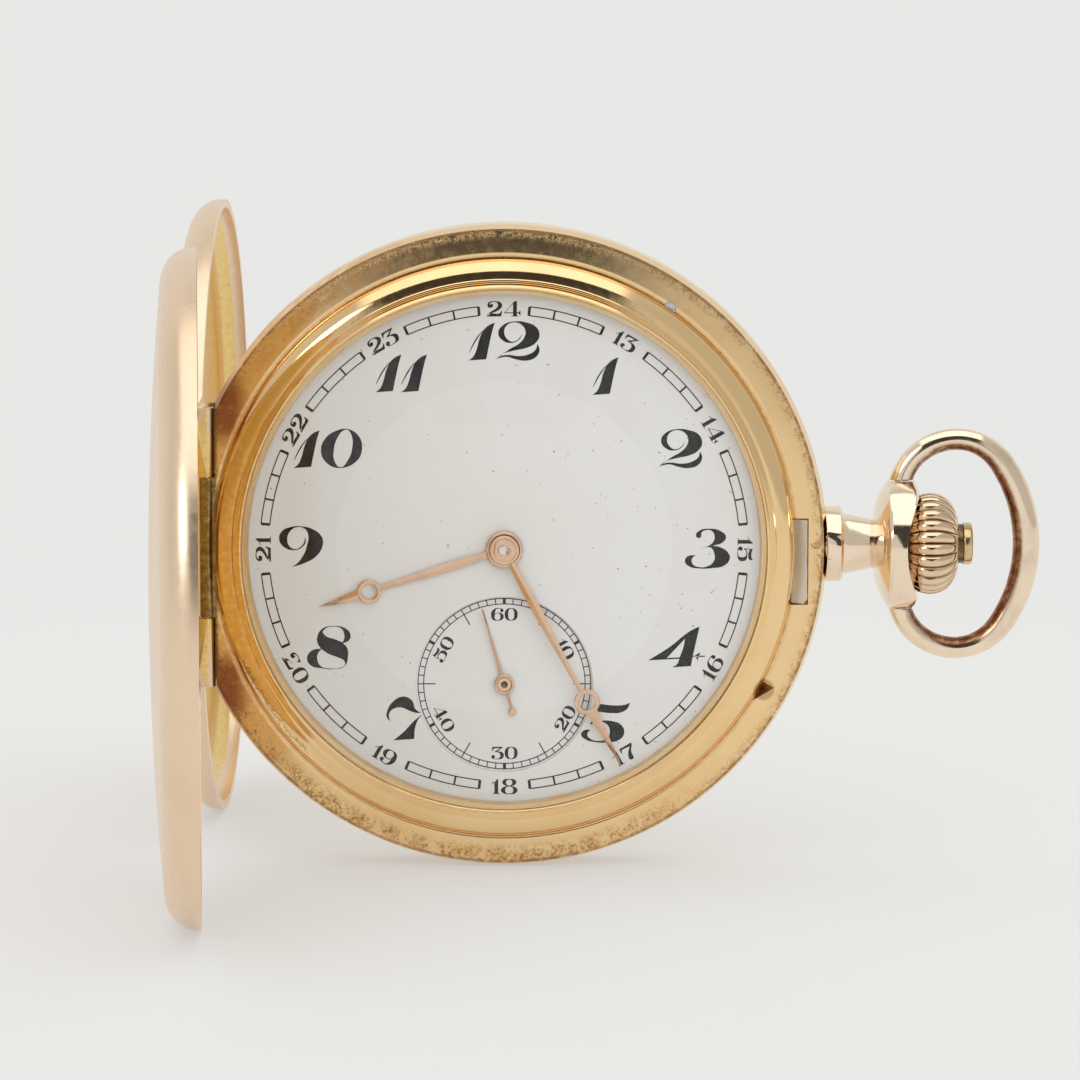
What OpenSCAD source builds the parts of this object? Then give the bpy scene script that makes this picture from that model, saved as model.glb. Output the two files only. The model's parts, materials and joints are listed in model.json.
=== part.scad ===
// Full hunter pocket watch, standing on its rim with both covers open.
// Watch frame: X runs to the crown, Y to twelve o'clock, Z out of the dial.
// stand() turns that frame upright, so that the dial faces -Y of the part.

/* [Case] */
// Outer radius of the case band and of both covers
case_r = 26; // [25.6:0.1:27.4]
// Half the thickness of the case band
band_half = 2.6; // [2.5:0.05:2.8]
// Slope of the band's outer edge, inward of the outer radius
band_bevel = 0.3; // [0.1:0.05:0.5]
// Gap between a closed cover and the band
cover_gap = 0.05; // [0.03:0.01:0.12]
// Air between the crystal's top and the closed front cover
cover_air = 0.65; // [0.4:0.05:1]
// Air between the bezel's height and a cover's shoulder
shoulder_air = 0.7; // [0.6:0.05:1]
// Width of the shoulder, from the rim inward
shoulder_w = 3; // [2.4:0.1:3.2]
// Wall of the covers
cover_wall = 0.5; // [0.35:0.05:0.55]
// Width of the covers' flat rim
rim_w = 0.7; // [0.5:0.05:0.9]
// Height of the covers' straight edge over their rim
edge_h = 0.5; // [0.3:0.05:0.7]
// Angle that the front cover stands open
front_open = 86.6; // [60:0.2:92]
// Angle that the back cover stands open
back_open = 88.5; // [60:0.5:92]

/* [Hinges] */
// Radius of the cover knuckles
knuckle_r = 0.6; // [0.5:0.05:0.65]
// Radius of the hinge pins
hinge_pin_r = 0.28; // [0.2:0.02:0.34]
// Running clearance of pins, shafts and pivots
run_fit = 0.03; // [0.02:0.01:0.05]
// Length of a whole cover hinge
hinge_len = 22.6; // [18:0.2:23]
// Distance from the case edge to the hinge pins
hinge_inset = 2.1; // [2:0.05:2.3]

/* [Bezel and crystal] */
// Width of the band's face outside the bezel
ring_w = 2.6; // [2.4:0.05:2.9]
// Width of the bezel, from its edge to the sight opening
bezel_w = 2.9; // [2.7:0.05:3.1]
// Lap of the bezel over the dial
dial_lap = 0.6; // [0.4:0.05:0.6]
// Width of the bezel's seat, from its edge to the main plate
seat_w = 1.9; // [1.8:0.05:2]
// Height of the bezel over the band's mid-plane
bezel_top = 4.8; // [4.6:0.05:5]
// Height of the crystal's dome over its seat
crystal_rise = 0.85; // [0.6:0.05:1]
// Thickness of the crystal
crystal_t = 0.42; // [0.35:0.02:0.5]

/* [Inner cover] */
// Distance from the case edge to the inner cover
cuvette_inset = 2.8; // [2.7:0.05:3.1]
// Height of the inner cover's dome
cuvette_depth = 1.75; // [1.7:0.05:2]
// Wall of the inner cover
cuvette_wall = 0.35; // [0.25:0.05:0.4]
// Radius of the inner cover's hinge knuckles
cuvette_knuckle_r = 0.36; // [0.3:0.02:0.4]

/* [Pendant, crown and bow] */
// Radius of the pendant's collar at the band
collar_r = 3.05; // [2.8:0.05:3.3]
// Radius of the pendant's neck at the collar
neck_r = 2.5; // [2.3:0.05:2.7]
// Radius of the neck where it meets the cup
neck_end_r = 1.95; // [1.8:0.05:2.1]
// Length of the pendant from the band to the cup's mouth
pendant_len = 7.4; // [7:0.1:8]
// Radius of the crown
crown_r = 4.13; // [3.9:0.05:4.4]
// Width of the cup's rim round the crown
cup_w = 1.07; // [0.95:0.05:1.2]
// Radius of the scallop that bares the crown's sides
scallop_r = 8.4; // [7.5:0.1:9.5]
// Length of the crown
crown_len = 4.25; // [3.9:0.05:4.7]
// Number of flutes round the crown
flutes = 24; // [18:2:28]
// Radius of a flute's groove
flute_r = 0.36; // [0.3:0.02:0.42]
// Radius of the push-button
button_r = 1.7; // [1.5:0.05:1.9]
// Travel of the push-button
button_travel = 0.3; // [0.2:0.05:0.35]
// Radius of the bow's stock
bow_stock_r = 0.88; // [0.8:0.02:0.95]
// Half the bow's width across the pendant
bow_half = 8.5; // [8.3:0.05:9.2]
// Radius of the bow's bends above and below the pendant
bow_bend_r = 4.75; // [4.6:0.05:5]
// Radius of the bow's long arc
bow_arc_r = 11.4; // [10.6:0.1:12.4]

/* [Dial and hands] */
// Thickness of the dial plate
dial_t = 0.7; // [0.6:0.05:0.75]
// Radius of the sunk seconds dial
sub_r = 7.15; // [7:0.05:7.3]
// Depth of the sunk seconds dial
sub_sink = 0.4; // [0.3:0.05:0.45]
// Distance from the hour hand's tip to the sight opening
hour_short = 4.9; // [4.4:0.1:5.6]
// Distance from the minute hand's tip to the sight opening
minute_short = 0.7; // [0.5:0.1:1.5]
// Reach of the seconds hand
second_len = 6.4; // [5.8:0.1:6.6]
// Thickness of a hand
hand_t = 0.18; // [0.14:0.01:0.2]
// Time shown, in hours
shown_h = 8; // [0:1:11]
// Time shown, in minutes
shown_m = 24.3; // [0:0.1:59]
// Time shown, in seconds
shown_s = 57.3; // [0:0.1:59]

/* [Movement] */
// Thickness of the main plate
plate_t = 1.7; // [1.6:0.05:1.75]
// Clear height between the plates
train_h = 2.2; // [2.15:0.05:2.3]
// Thickness of the three-quarter plate
bridge_t = 1.3; // [1.2:0.05:1.35]
// Clearance from the barrel's teeth to the edge of the plate
barrel_edge = 0.36; // [0.3:0.05:0.6]
// Distance from the winding pinion to the edge of the plate
winding_inset = 4.2; // [4:0.1:4.4]
// Clearance from the balance's screws to the edge of the plate
balance_edge = 1.03; // [0.9:0.05:1.6]

/* [Hidden] */
$fn = 72;

// Radii that follow from the case
bezel_r = case_r - ring_w;
sight_r = bezel_r - bezel_w;
dial_r = sight_r + dial_lap;
plate_r = bezel_r - seat_w;
cuvette_r = case_r - cuvette_inset;
cup_r = crown_r + cup_w;
hour_len = sight_r - hour_short;
minute_len = sight_r - minute_short;

// Growth of the movement's plan over that of the 43 mm calibre
calibre = plate_r / 21.5;

// Heights in the watch frame, from the mid-plane of the band
rim_z = band_half + cover_gap;
hinge_z = band_half - knuckle_r;
hinge_x = -(case_r - hinge_inset);
flat_x = hinge_x + knuckle_r + 0.1;
cover_flat_x = hinge_x - knuckle_r;
plate_top = band_half - 0.3;
plate_bot = plate_top - plate_t;
bridge_top = plate_bot - train_h;
bridge_bot = bridge_top - bridge_t;
dial_seat = plate_top + 0.05;
dial_top = dial_seat + dial_t;
stem_z = plate_bot - 0.85;
bezel_seat = band_half - 0.45;
crystal_seat = bezel_top - 0.6;
crystal_edge = crystal_seat + 0.3;
cover_depth = crystal_edge + crystal_rise + cover_air + cover_wall - rim_z;
shoulder_h = bezel_top + shoulder_air - rim_z;

// Pin at the bezel's edge, and the notch in the band for prising the bezel off
bezel_pin_a = 55.6;
bezel_pin_r = 0.5;
bezel_pin_foot = 0.6;
bezel_pin_p = [bezel_r * cos(bezel_pin_a), bezel_r * sin(bezel_pin_a)];
notch_a = -28.9;
notch_w = 1.15;

// Where the knuckles of a cover hinge end
case_knuckle = hinge_len / 4;
side_gap = 0.1;

// Bow and pendant along X
crown_x = case_r + pendant_len - 1.05;
bow_pivot_x = case_r + pendant_len - 1.42;
foot_y = cup_r + 0.04;

// The bow's line is an oval of a long arc and two bends that end on the cup
bend_y = bow_half - bow_bend_r;
bow_shift = sqrt(pow(bow_arc_r - bow_bend_r, 2) - pow(bend_y, 2));
bow_join = atan2(bend_y, bow_shift);
bow_mid_x = bow_pivot_x + sqrt(pow(bow_bend_r, 2) - pow(foot_y - bend_y, 2));
bow_end_x = bow_mid_x - bow_shift + bow_arc_r + bow_stock_r;
origin_x = (rim_z + cover_depth - hinge_z - hinge_x - bow_end_x) / 2;

// Wheel train: teeth, modules and centres
barrel_n = 80;
centre_pinion_n = 10;
centre_n = 80;
third_pinion_n = 10;
third_n = 75;
fourth_pinion_n = 10;
fourth_n = 80;
escape_pinion_n = 8;
escape_n = 15;
cannon_n = 12;
minute_n = 36;
minute_pinion_n = 10;
hour_n = 40;
crown_wheel_n = 30;
ratchet_n = 50;
winding_pinion_n = 12;

barrel_mod = (plate_r - barrel_edge) / (barrel_n + centre_pinion_n / 2 + 0.7);
centre_mod = 0.15 * calibre;
third_mod = 0.14 * calibre;
fourth_mod = 0.11 * calibre;
wind_mod = 0.3 * calibre;
fourth_d = 11 * calibre;

crown_wheel_r = wind_mod * crown_wheel_n / 2;
ratchet_r = wind_mod * ratchet_n / 2;
winding_r = wind_mod * winding_pinion_n / 2;
winding_x = plate_r - winding_inset;
winding_w = 0.6;
crown_wheel_x = winding_x - winding_w / 2 - 0.05 - crown_wheel_r + wind_mod;

barrel_d = barrel_mod * (barrel_n + centre_pinion_n) / 2;
barrel_a = acos((pow(barrel_d, 2) + pow(crown_wheel_x, 2)
    - pow(crown_wheel_r + ratchet_r, 2)) / (2 * barrel_d * crown_wheel_x));
barrel_p = polar(barrel_d, barrel_a);
crown_wheel_p = [crown_wheel_x, 0];

third_d = centre_mod * (centre_n + third_pinion_n) / 2;
third_to_fourth = third_mod * (third_n + fourth_pinion_n) / 2;
fourth_p = [0, -fourth_d];
third_y = (pow(third_to_fourth, 2) - pow(third_d, 2) - pow(fourth_d, 2)) / (2 * fourth_d);
third_p = [sqrt(pow(third_d, 2) - pow(third_y, 2)), third_y];
escape_d = fourth_mod * (fourth_n + escape_pinion_n) / 2;
escape_a = 150;
escape_p = fourth_p + polar(escape_d, escape_a);
escape_r = 3.3 * calibre;
fork_arm = escape_r / cos(180 / escape_n * 2.5);
balance_a = 153;
roller_reach = 4.05 * calibre;
balance_p = escape_p + polar(fork_arm + roller_reach, balance_a);
fork_p = escape_p + polar(fork_arm, balance_a);
balance_r = plate_r - balance_edge - norm(balance_p);

motion_d = 2.88 * calibre;
motion_a = 20;
cannon_mod = 2 * motion_d / (cannon_n + minute_n);
hour_mod = 2 * motion_d / (minute_pinion_n + hour_n);
minute_p = polar(motion_d, motion_a);

// Turn of the hands for the time shown, clockwise from twelve
minute_turn = 6 * shown_m + 0.1 * shown_s;
hour_turn = 30 * shown_h + minute_turn / 12;
second_turn = 6 * shown_s;

arbor_r = 0.3;
pivot_r = 0.12;
jewel_r = 0.75;
jewel_t = 0.45;
staff_r = 0.35;
centre_r = 0.45;
pillar_r = 1.4;
screw_r = 0.5;
screw_head_r = 1;
screw_head_t = 0.4;
slot_w = 0.2;
slot_d = 0.15;

pillars = calibre * [[-3, 18.6], [17.4, -7.6], [9, -17], [-13, 11.5]];
cock_foot = balance_p + polar(balance_r + 2.5, 115);
cock_bot = bridge_bot - 0.5;
cock_top = bridge_bot + 0.3;
cock_r = 1.9;
stem_r = 0.6;
sleeve_r = 1.25;
pipe_r = 0.75;
pipe_out_r = 0.98;
channel_out = plate_r + 1.4;
channel_z = [0.7, 1.65];
plate_fit = 0.05;
flange_r = plate_r + 0.4;

function polar(r, a) = [r * cos(a), r * sin(a)];

// Points of a tooth ring: each tooth is a root, two tip corners and a root
function teeth(n, m, phase, add = 0.7, ded = 1) = [
    for (i = [0:n - 1], k = [0:3])
        let (
            side = [-0.27, -0.12, 0.12, 0.27][k],
            r = m * n / 2 + m * (k == 0 || k == 3 ? -ded : add)
        )
        polar(r, phase + 360 * (i + side) / n)
];

// Phase of a wheel with nb teeth that meshes with a wheel of na teeth at phase a,
// where th is the direction from the first to the second
function mesh(a, na, nb, th) = th + 180 + 180 / nb - (a - th) * na / nb;

function arc(c, r, a0, a1, n) = [for (i = [0:n]) c + polar(r, a0 + (a1 - a0) * i / n)];

// Half profile of a domed cover from its axis to its rim, as radius and height
function skin(r, r_s, lip, z_s, depth) = concat(
    [for (i = [0:6]) [r_s * i / 6, depth - (depth - z_s) * pow(i / 6, 2)]],
    [for (t = [75:-15:15]) [r_s + (r - r_s) * cos(t), lip + (z_s - lip) * sin(t)]],
    [[r, lip], [r, 0]]
);

function back(list) = [for (i = [len(list) - 1:-1:0]) list[i]];

// Case screws at the edge of the movement
case_screw_p = [polar(plate_r - 0.6, 112), polar(plate_r - 0.6, 292)];

// Catch of the lock spring, in a slot of the band and the bezel
catch_x = [bezel_r - 0.3, bezel_r + 0.95];
catch_y = [-4.5, 2.3];
catch_fit = 0.1;
catch_stroke = 0.3;
catch_top = band_half + 0.6;
root_x = catch_x[1] + catch_fit + 0.05;
root_r = 1.9;

// Nose of the lift spring
nose_y = [-1.8, 0.5];
nose_z = [channel_z[0] + 0.1, channel_z[1] - 0.15];
blade_t = 0.5;

// Hinge of the inner cover
cuvette_hinge_x = flat_x + cuvette_knuckle_r + 0.12;
cuvette_hinge_z = -(band_half + cuvette_knuckle_r + 0.04);
cuvette_hinge_len = 9;
cuvette_mid = 4.4;
cuvette_pin_r = 0.15;

// Dial feet and the heights of the hands
feet = [for (a = [50, 160, 262]) polar(dial_r - 2.5, a)];
hour_hand_z = dial_top + 0.25;
minute_hand_z = hour_hand_z + 0.45;
second_hand_z = dial_top - sub_sink + 0.25;
seconds_arbor_r = 0.2;
cannon_body_r = 0.7;

// Recesses for the motion work and the winding wheels
recess_floor = plate_bot + 0.8;
cannon_z = [recess_floor + 0.05, recess_floor + 0.3];
recess_bot = stem_z - winding_r;
ratchet_z = [recess_bot - 0.55, recess_bot - 0.05];
click_p = barrel_p + polar(ratchet_r + 2.1, 150);

// Barrel, escapement bridge and balance
barrel_z = [plate_bot - 2.05, plate_bot - 0.75, plate_bot - 0.45];
cavity_z = [barrel_z[0] + 0.2, barrel_z[1] - 0.05];
barrel_drum_r = barrel_mod * (barrel_n / 2 - 1) - 0.3;
fork_bridge_z = [bridge_top + 0.2, bridge_top + 0.6];
fork_feet = [escape_p + polar(escape_r + 1.3, 240), fork_p + polar(3.2, 75)];
balance_z = [bridge_top - 0.7, bridge_top + 0.1];
rim_out = balance_r - 0.3;

// Turn of each tooth ring, so that the wheels are in mesh
centre_phase = barrel_a;
crown_phase = 180 / crown_wheel_n;
third_a = atan2(third_p[1], third_p[0]);
third_to_fourth_a = atan2(fourth_p[1] - third_p[1], fourth_p[0] - third_p[0]);
third_phase = mesh(third_a, centre_n, third_pinion_n, third_a);
centre_wheel_z = [plate_bot - 0.3, plate_bot - 0.15];

// Turns the watch frame upright and sets the watch on the floor
module stand() {
    translate([origin_x, 0, case_r])
        rotate([90, 0, 0])
            children();
}

module disc(p, r, z0, z1) {
    translate([p[0], p[1], z0])
        cylinder(r = r, h = z1 - z0);
}

module ring(p, r_out, r_in, z0, z1) {
    difference() {
        disc(p, r_out, z0, z1);
        disc(p, r_in, z0 - 1, z1 + 1);
    }
}

// Cylinder along X, centred on the stem's axis
module rod(r, x0, x1) {
    translate([x0, 0, stem_z])
        rotate([0, 90, 0])
            cylinder(r = r, h = x1 - x0);
}

// Turned form along X from points of distance along the stem and radius
module turned(points) {
    translate([0, 0, stem_z])
        rotate([0, 90, 0])
            rotate_extrude()
                polygon([for (p = points) [p[1], p[0]]]);
}

module lathe(points) {
    rotate_extrude()
        polygon(points);
}

module at(p, z = 0) {
    translate([p[0], p[1], z])
        children();
}

module turn_about(x, z, a) {
    translate([x, 0, z])
        rotate([0, a, 0])
            translate([-x, 0, -z])
                children();
}

// Cylinder along Y from y0 to y1 at x and z
module bar_y(x, z, r, y0, y1) {
    translate([x, y0, z])
        rotate([-90, 0, 0])
            cylinder(r = r, h = y1 - y0);
}

module block(x0, x1, y0, y1, z0, z1) {
    translate([x0, y0, z0])
        cube([x1 - x0, y1 - y0, z1 - z0]);
}

// Spoked wheel plate with teeth, spokes of width w between hub and rim
module spoked(n, m, phase, z0, z1, hub, rim, spokes, w) {
    rim_in = m * n / 2 - m - rim;
    at([0, 0], z0)
        linear_extrude(z1 - z0)
            difference() {
                polygon(teeth(n, m, phase));
                for (i = [0:spokes - 1]) {
                    inner = asin(w / 2 / hub);
                    outer = asin(w / 2 / rim_in);
                    a = 360 * i / spokes + phase;
                    b = a + 360 / spokes;
                    polygon(concat(
                        arc([0, 0], hub, a + inner, b - inner, 3),
                        arc([0, 0], rim_in, b - outer, a + outer, 6)
                    ));
                }
            }
}

module leaves(n, m, phase, z0, z1) {
    at([0, 0], z0)
        linear_extrude(z1 - z0)
            polygon(teeth(n, m, phase));
}

// Arbor between the plates with a pivot at each end
module arbor(z0, z1, r = arbor_r) {
    disc([0, 0], r, z0, z1);
    disc([0, 0], pivot_r, z0 - jewel_t, z1 + jewel_t);
}

// Slotted screw with its head at z and its shank toward the dial
module screw(p, z, head_r, head_t, shank_r, length) {
    at(p)
        difference() {
            union() {
                disc([0, 0], head_r, z, z + head_t);
                disc([0, 0], shank_r, z + head_t - 0.1, z + head_t + length);
            }
            block(-head_r - 1, head_r + 1, -slot_w / 2, slot_w / 2, z - 1, z + slot_d);
        }
}

// Domed shell with a straight hinge side, its rim on the plane z = 0
module shell(r, r_s, wall, rim, lip, z_s, depth, x_cut) {
    outer = skin(r, r_s, lip, z_s, depth);
    inner = skin(r - rim, r_s - 0.6 * wall, lip, z_s - wall, depth - wall);
    difference() {
        lathe(concat(outer, back(inner)));
        block(-r - 1, x_cut, -r, r, -1, depth + 1);
    }
    intersection() {
        lathe(concat(outer, [[0, 0]]));
        block(x_cut, x_cut + wall, -r, r, -1, depth + 1);
    }
}

// A closed cover over the plane z = 0 of the band, hinge at the left
module cover() {
    difference() {
        union() {
            translate([0, 0, rim_z])
                shell(case_r, case_r - shoulder_w, cover_wall, rim_w, edge_h,
                    shoulder_h, cover_depth, cover_flat_x);
            for (s = [-1, 1]) {
                y0 = case_knuckle + side_gap;
                y1 = hinge_len / 2;
                lo = min(s * y0, s * y1);
                bar_y(hinge_x, hinge_z, knuckle_r, lo, lo + y1 - y0);
                block(hinge_x - knuckle_r, hinge_x + knuckle_r, lo, lo + y1 - y0,
                    hinge_z, rim_z + 0.3);
            }
        }
        bar_y(hinge_x, hinge_z, hinge_pin_r + run_fit, -hinge_len, hinge_len);
    }
}

// Case: band, knuckles, spring channel and seats for the bezel and movement
module case_band() {
    outer = [
        [case_r - band_bevel, -band_half], [case_r, -band_half + 1.2],
        [case_r, band_half - 1.2], [case_r - band_bevel, band_half]
    ];
    inner = [
        [bezel_r + 0.12, band_half], [bezel_r + 0.12, bezel_seat],
        [flange_r + plate_fit, bezel_seat], [flange_r + plate_fit, plate_top - 0.6],
        [plate_r + plate_fit, plate_top - 0.6], [plate_r + plate_fit, channel_z[1]],
        [channel_out, channel_z[1]], [channel_out, channel_z[0]],
        [plate_r + plate_fit, channel_z[0]], [plate_r + plate_fit, -band_half]
    ];
    color("goldenrod")
    stand()
        difference() {
            union() {
                difference() {
                    lathe(concat(outer, inner));
                    block(-case_r - 1, flat_x, -case_r, case_r, -case_r, case_r);
                }
                for (s = [-1, 1]) {
                    bar_y(hinge_x, s * hinge_z, knuckle_r, -case_knuckle, case_knuckle);
                    block(hinge_x, flat_x + 0.04, -case_knuckle, case_knuckle,
                        s * hinge_z - knuckle_r * 0.7, s * hinge_z + knuckle_r * 0.7);
                }
            }
            for (s = [-1, 1])
                bar_y(hinge_x, s * hinge_z, hinge_pin_r, -case_r, case_r);
            rod(root_r, plate_r - 1, case_r + 1);
            catch_slot(case_r);
            nose_slot();
            for (p = case_screw_p)
                disc(p, screw_head_r + 0.05, -band_half - 1, -band_half + screw_head_t);
            disc(bezel_pin_p, bezel_pin_r + 0.03, bezel_seat - bezel_pin_foot, case_r);
            thumb_notch();
        }
}

// Notch in the band's face for prising the bezel off: a valley that falls toward the bezel
module thumb_notch() {
    rotate([0, 0, notch_a])
        translate([bezel_r + notch_w, notch_w / 2, band_half])
            rotate([0, 0, 30])
                rotate([0, -35, 0])
                    rotate([45, 0, 0])
                        translate([-1.45, 0, 0])
                            cube([2.45, 2, 2]);
}

// Steel pin at the bezel's edge that keeps it from turning
module bezel_pin() {
    color("silver")
    stand()
        difference() {
            disc(bezel_pin_p, bezel_pin_r, bezel_seat - bezel_pin_foot, band_half - 0.05);
            block(bezel_pin_p[0] - 1, bezel_pin_p[0] + 1, bezel_pin_p[1] - 0.08,
                bezel_pin_p[1] + 0.08, band_half - 0.2, band_half);
        }
}

// Slot in the band and bezel for the catch, and in the band for the lift spring's nose
module catch_slot(z_top) {
    block(catch_x[0] - catch_stroke - catch_fit, catch_x[1] + catch_fit,
        catch_y[0] - catch_fit, catch_y[1] + catch_fit, channel_z[0], z_top);
}

module nose_slot() {
    block(-case_r - 1, -plate_r, nose_y[0] - 0.1, nose_y[1] + 0.1, channel_z[0], channel_z[1]);
}

// Snap-on bezel: convex band, fine stepped lines, ridge and inner bevel
module bezel() {
    ridge = sight_r + 0.6;
    color("gold")
    stand()
        difference() {
            lathe(concat(
                [[bezel_r - 0.05, bezel_seat], [bezel_r, bezel_seat + 0.1],
                 [bezel_r, band_half + 0.1]],
                arc([bezel_r - 1.45, band_half + 0.1], 1.45, 10, 70, 6),
                [[bezel_r - 1.35, crystal_seat - 0.15], [bezel_r - 1.5, crystal_seat + 0.12],
                 [bezel_r - 1.68, crystal_seat + 0.14], [bezel_r - 1.76, crystal_seat + 0.34],
                 [bezel_r - 1.94, crystal_seat + 0.36], [bezel_r - 2, bezel_top - 0.06],
                 [ridge + 0.12, bezel_top], [ridge - 0.06, bezel_top - 0.08],
                 [ridge - 0.1, crystal_seat], [sight_r + 0.12, crystal_seat],
                 [sight_r, dial_top + 0.05], [dial_r + 0.1, dial_top + 0.05],
                 [dial_r + 0.1, plate_top + 0.05], [flange_r + 0.1, plate_top + 0.05],
                 [flange_r + 0.1, bezel_seat]]
            ));
            block(-case_r, flat_x + 0.1, -case_r, case_r, 0, 2 * band_half + case_r);
            catch_slot(catch_top + catch_fit);
            disc(bezel_pin_p, bezel_pin_r + 0.1, 0, band_half + 0.1);
        }
}

module crystal() {
    edge = sight_r + 0.46;
    foot = crystal_seat + 0.02;
    color("lightcyan", 0.4)
    stand()
        lathe(concat(
            [for (i = [0:8]) [edge * i / 8, crystal_edge + crystal_rise * (1 - pow(i / 8, 2))]],
            [[edge, foot]],
            [for (i = [8:-1:0]) [(sight_r - 0.1) * i / 8,
                foot + (crystal_edge + crystal_rise - crystal_t - foot) * (1 - pow(i / 8, 2))]]
        ));
}

module front_cover() {
    lip_r = case_r - rim_w;
    color("rosybrown")
    stand()
        turn_about(hinge_x, hinge_z, -front_open) {
            cover();
            // lip that the catch holds
            intersection() {
                disc([0, 0], lip_r + 0.1, rim_z, rim_z + 0.4);
                block(catch_x[1] + catch_fit, case_r, catch_y[0], catch_y[1], 0, case_r);
            }
        }
}

module back_cover() {
    color("rosybrown")
    stand()
        turn_about(hinge_x, -hinge_z, back_open)
            mirror([0, 0, 1])
                cover();
}

// Inner back cover on its own small hinge
module cuvette() {
    h = -cuvette_hinge_z;
    color("khaki")
    stand()
        mirror([0, 0, 1])
            difference() {
                union() {
                    translate([0, 0, rim_z])
                        shell(cuvette_r, cuvette_r - 1.7, cuvette_wall, 0.9, 0.25,
                            cuvette_depth - 0.45, cuvette_depth,
                            cuvette_hinge_x + cuvette_knuckle_r + 0.1);
                    for (s = [0, 1])
                        mirror([0, s, 0]) {
                            y0 = cuvette_mid / 2 + side_gap;
                            y1 = cuvette_hinge_len / 2;
                            bar_y(cuvette_hinge_x, h, cuvette_knuckle_r, y0, y1);
                            block(cuvette_hinge_x, cuvette_hinge_x + 0.9, y0, y1,
                                h, h + cuvette_knuckle_r);
                        }
                    // thumb lip at the right
                    block(cuvette_r - 0.6, cuvette_r + 0.35, -1.4, 1.4, rim_z, rim_z + 0.25);
                }
                bar_y(cuvette_hinge_x, h, cuvette_pin_r + run_fit, -case_r, case_r);
            }
}

// Pins of the two cover hinges and of the inner cover, each in the band's knuckles
module hinge_pins() {
    color("darkgoldenrod")
    stand() {
        for (s = [-1, 1])
            bar_y(hinge_x, s * hinge_z, hinge_pin_r, -hinge_len / 2, hinge_len / 2);
        bar_y(cuvette_hinge_x, cuvette_hinge_z, cuvette_pin_r,
            -cuvette_hinge_len / 2, cuvette_hinge_len / 2);
        bar_y(cuvette_hinge_x, cuvette_hinge_z, cuvette_knuckle_r,
            -cuvette_mid / 2, cuvette_mid / 2);
        block(cuvette_hinge_x - 0.2, cuvette_hinge_x + cuvette_knuckle_r,
            -cuvette_mid / 2, cuvette_mid / 2, cuvette_hinge_z, -band_half);
    }
}

// Blade in the band's channel, screwed down at its far end
module blade(r_out, r_in, a0, a1, z0, z1) {
    at([0, 0], z0)
        linear_extrude(z1 - z0)
            polygon(concat(arc([0, 0], r_out, a0, a1, 24), arc([0, 0], r_in, a1, a0, 24)));
}

module lift_spring() {
    r_out = channel_out - 0.1;
    color("silver")
    stand() {
        blade(r_out, r_out - blade_t, 110, 180.5, nose_z[0], nose_z[1]);
        block(hinge_x - 0.45, -r_out + 0.3, nose_y[0], nose_y[1], nose_z[0], nose_z[1]);
    }
}

module lock_spring() {
    r_out = channel_out - 0.1 - catch_stroke;
    color("gray")
    stand() {
        blade(r_out, r_out - blade_t, -62, 5, nose_z[0], nose_z[1]);
        block(r_out - 0.4, catch_x[0] + 0.2, catch_y[0] + 1.8, catch_y[1] - 0.4,
            nose_z[0], nose_z[1]);
        difference() {
            block(catch_x[0], catch_x[1], catch_y[0], catch_y[1], nose_z[0], catch_top);
            // sloping head that a closing cover rides over
            translate([catch_x[1], 0, band_half + 0.35])
                rotate([0, -35, 0])
                    block(-2, 2, 2 * catch_y[0], -2 * catch_y[0], 0, 2);
            // bevelled lower end
            translate([catch_x[1], catch_y[0], 0])
                rotate([0, 0, 50])
                    block(-2, 2, -2, 0.25, 0, 2 * band_half);
        }
    }
}

// Pendant: saddle collar on the band, tapered neck and cup round the crown
module pendant() {
    c0 = case_r - 0.8;
    c1 = case_r + 1.3;
    mouth = case_r + pendant_len;
    color("goldenrod")
    stand()
        difference() {
            turned([
                [root_x, 0], [root_x, root_r], [c0, root_r], [c0, collar_r - 0.15],
                [case_r, collar_r], [c1 - 0.2, collar_r], [c1, collar_r - 0.25],
                [c1, neck_r], [c1 + 1.3, (neck_r + neck_end_r) / 2 - 0.05],
                [mouth - 3.6, neck_end_r], [mouth - 3.47, cup_r - 2.1],
                [mouth - 3.14, cup_r - 1.26], [mouth - 2.8, cup_r - 0.6],
                [mouth - 2.5, cup_r - 0.12], [mouth - 2.25, cup_r],
                [mouth - 0.55, cup_r], [mouth - 0.3, cup_r - 0.06], [mouth, cup_r - 0.6],
                [mouth, crown_r + 0.22], [mouth - 1.25, crown_r + 0.15],
                [mouth - 1.45, crown_r - 0.3], [mouth - 1.5, 0]
            ]);
            // the collar and its root leave room for the closed covers
            difference() {
                disc([0, 0], case_r + cover_gap, -case_r, case_r);
                disc([0, 0], case_r + 1, -band_half, band_half);
            }
            difference() {
                disc([0, 0], case_r, -case_r, case_r);
                rod(root_r, root_x - 1, case_r + 1);
            }
            rod(sleeve_r, root_x - 1, mouth + 1);
            disc([crown_x - 0.05 + scallop_r, 0], scallop_r, -case_r, case_r);
            for (s = [-1, 1]) {
                bar_y(bow_pivot_x, stem_z, 0.5 + run_fit, s > 0 ? cup_r - 0.75 : -2 * cup_r,
                    s > 0 ? 2 * cup_r : -cup_r + 0.75);
                block(bow_pivot_x - 1.1, bow_pivot_x + 1.1, s > 0 ? cup_r - 0.1 : -2 * cup_r,
                    s > 0 ? 2 * cup_r : -cup_r + 0.1, -case_r, case_r);
            }
        }
}

module pendant_sleeve() {
    color("silver")
    stand()
        difference() {
            rod(sleeve_r, root_x, case_r + pendant_len - 1.55);
            rod(stem_r + run_fit, root_x - 1, case_r + pendant_len);
        }
}

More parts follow.
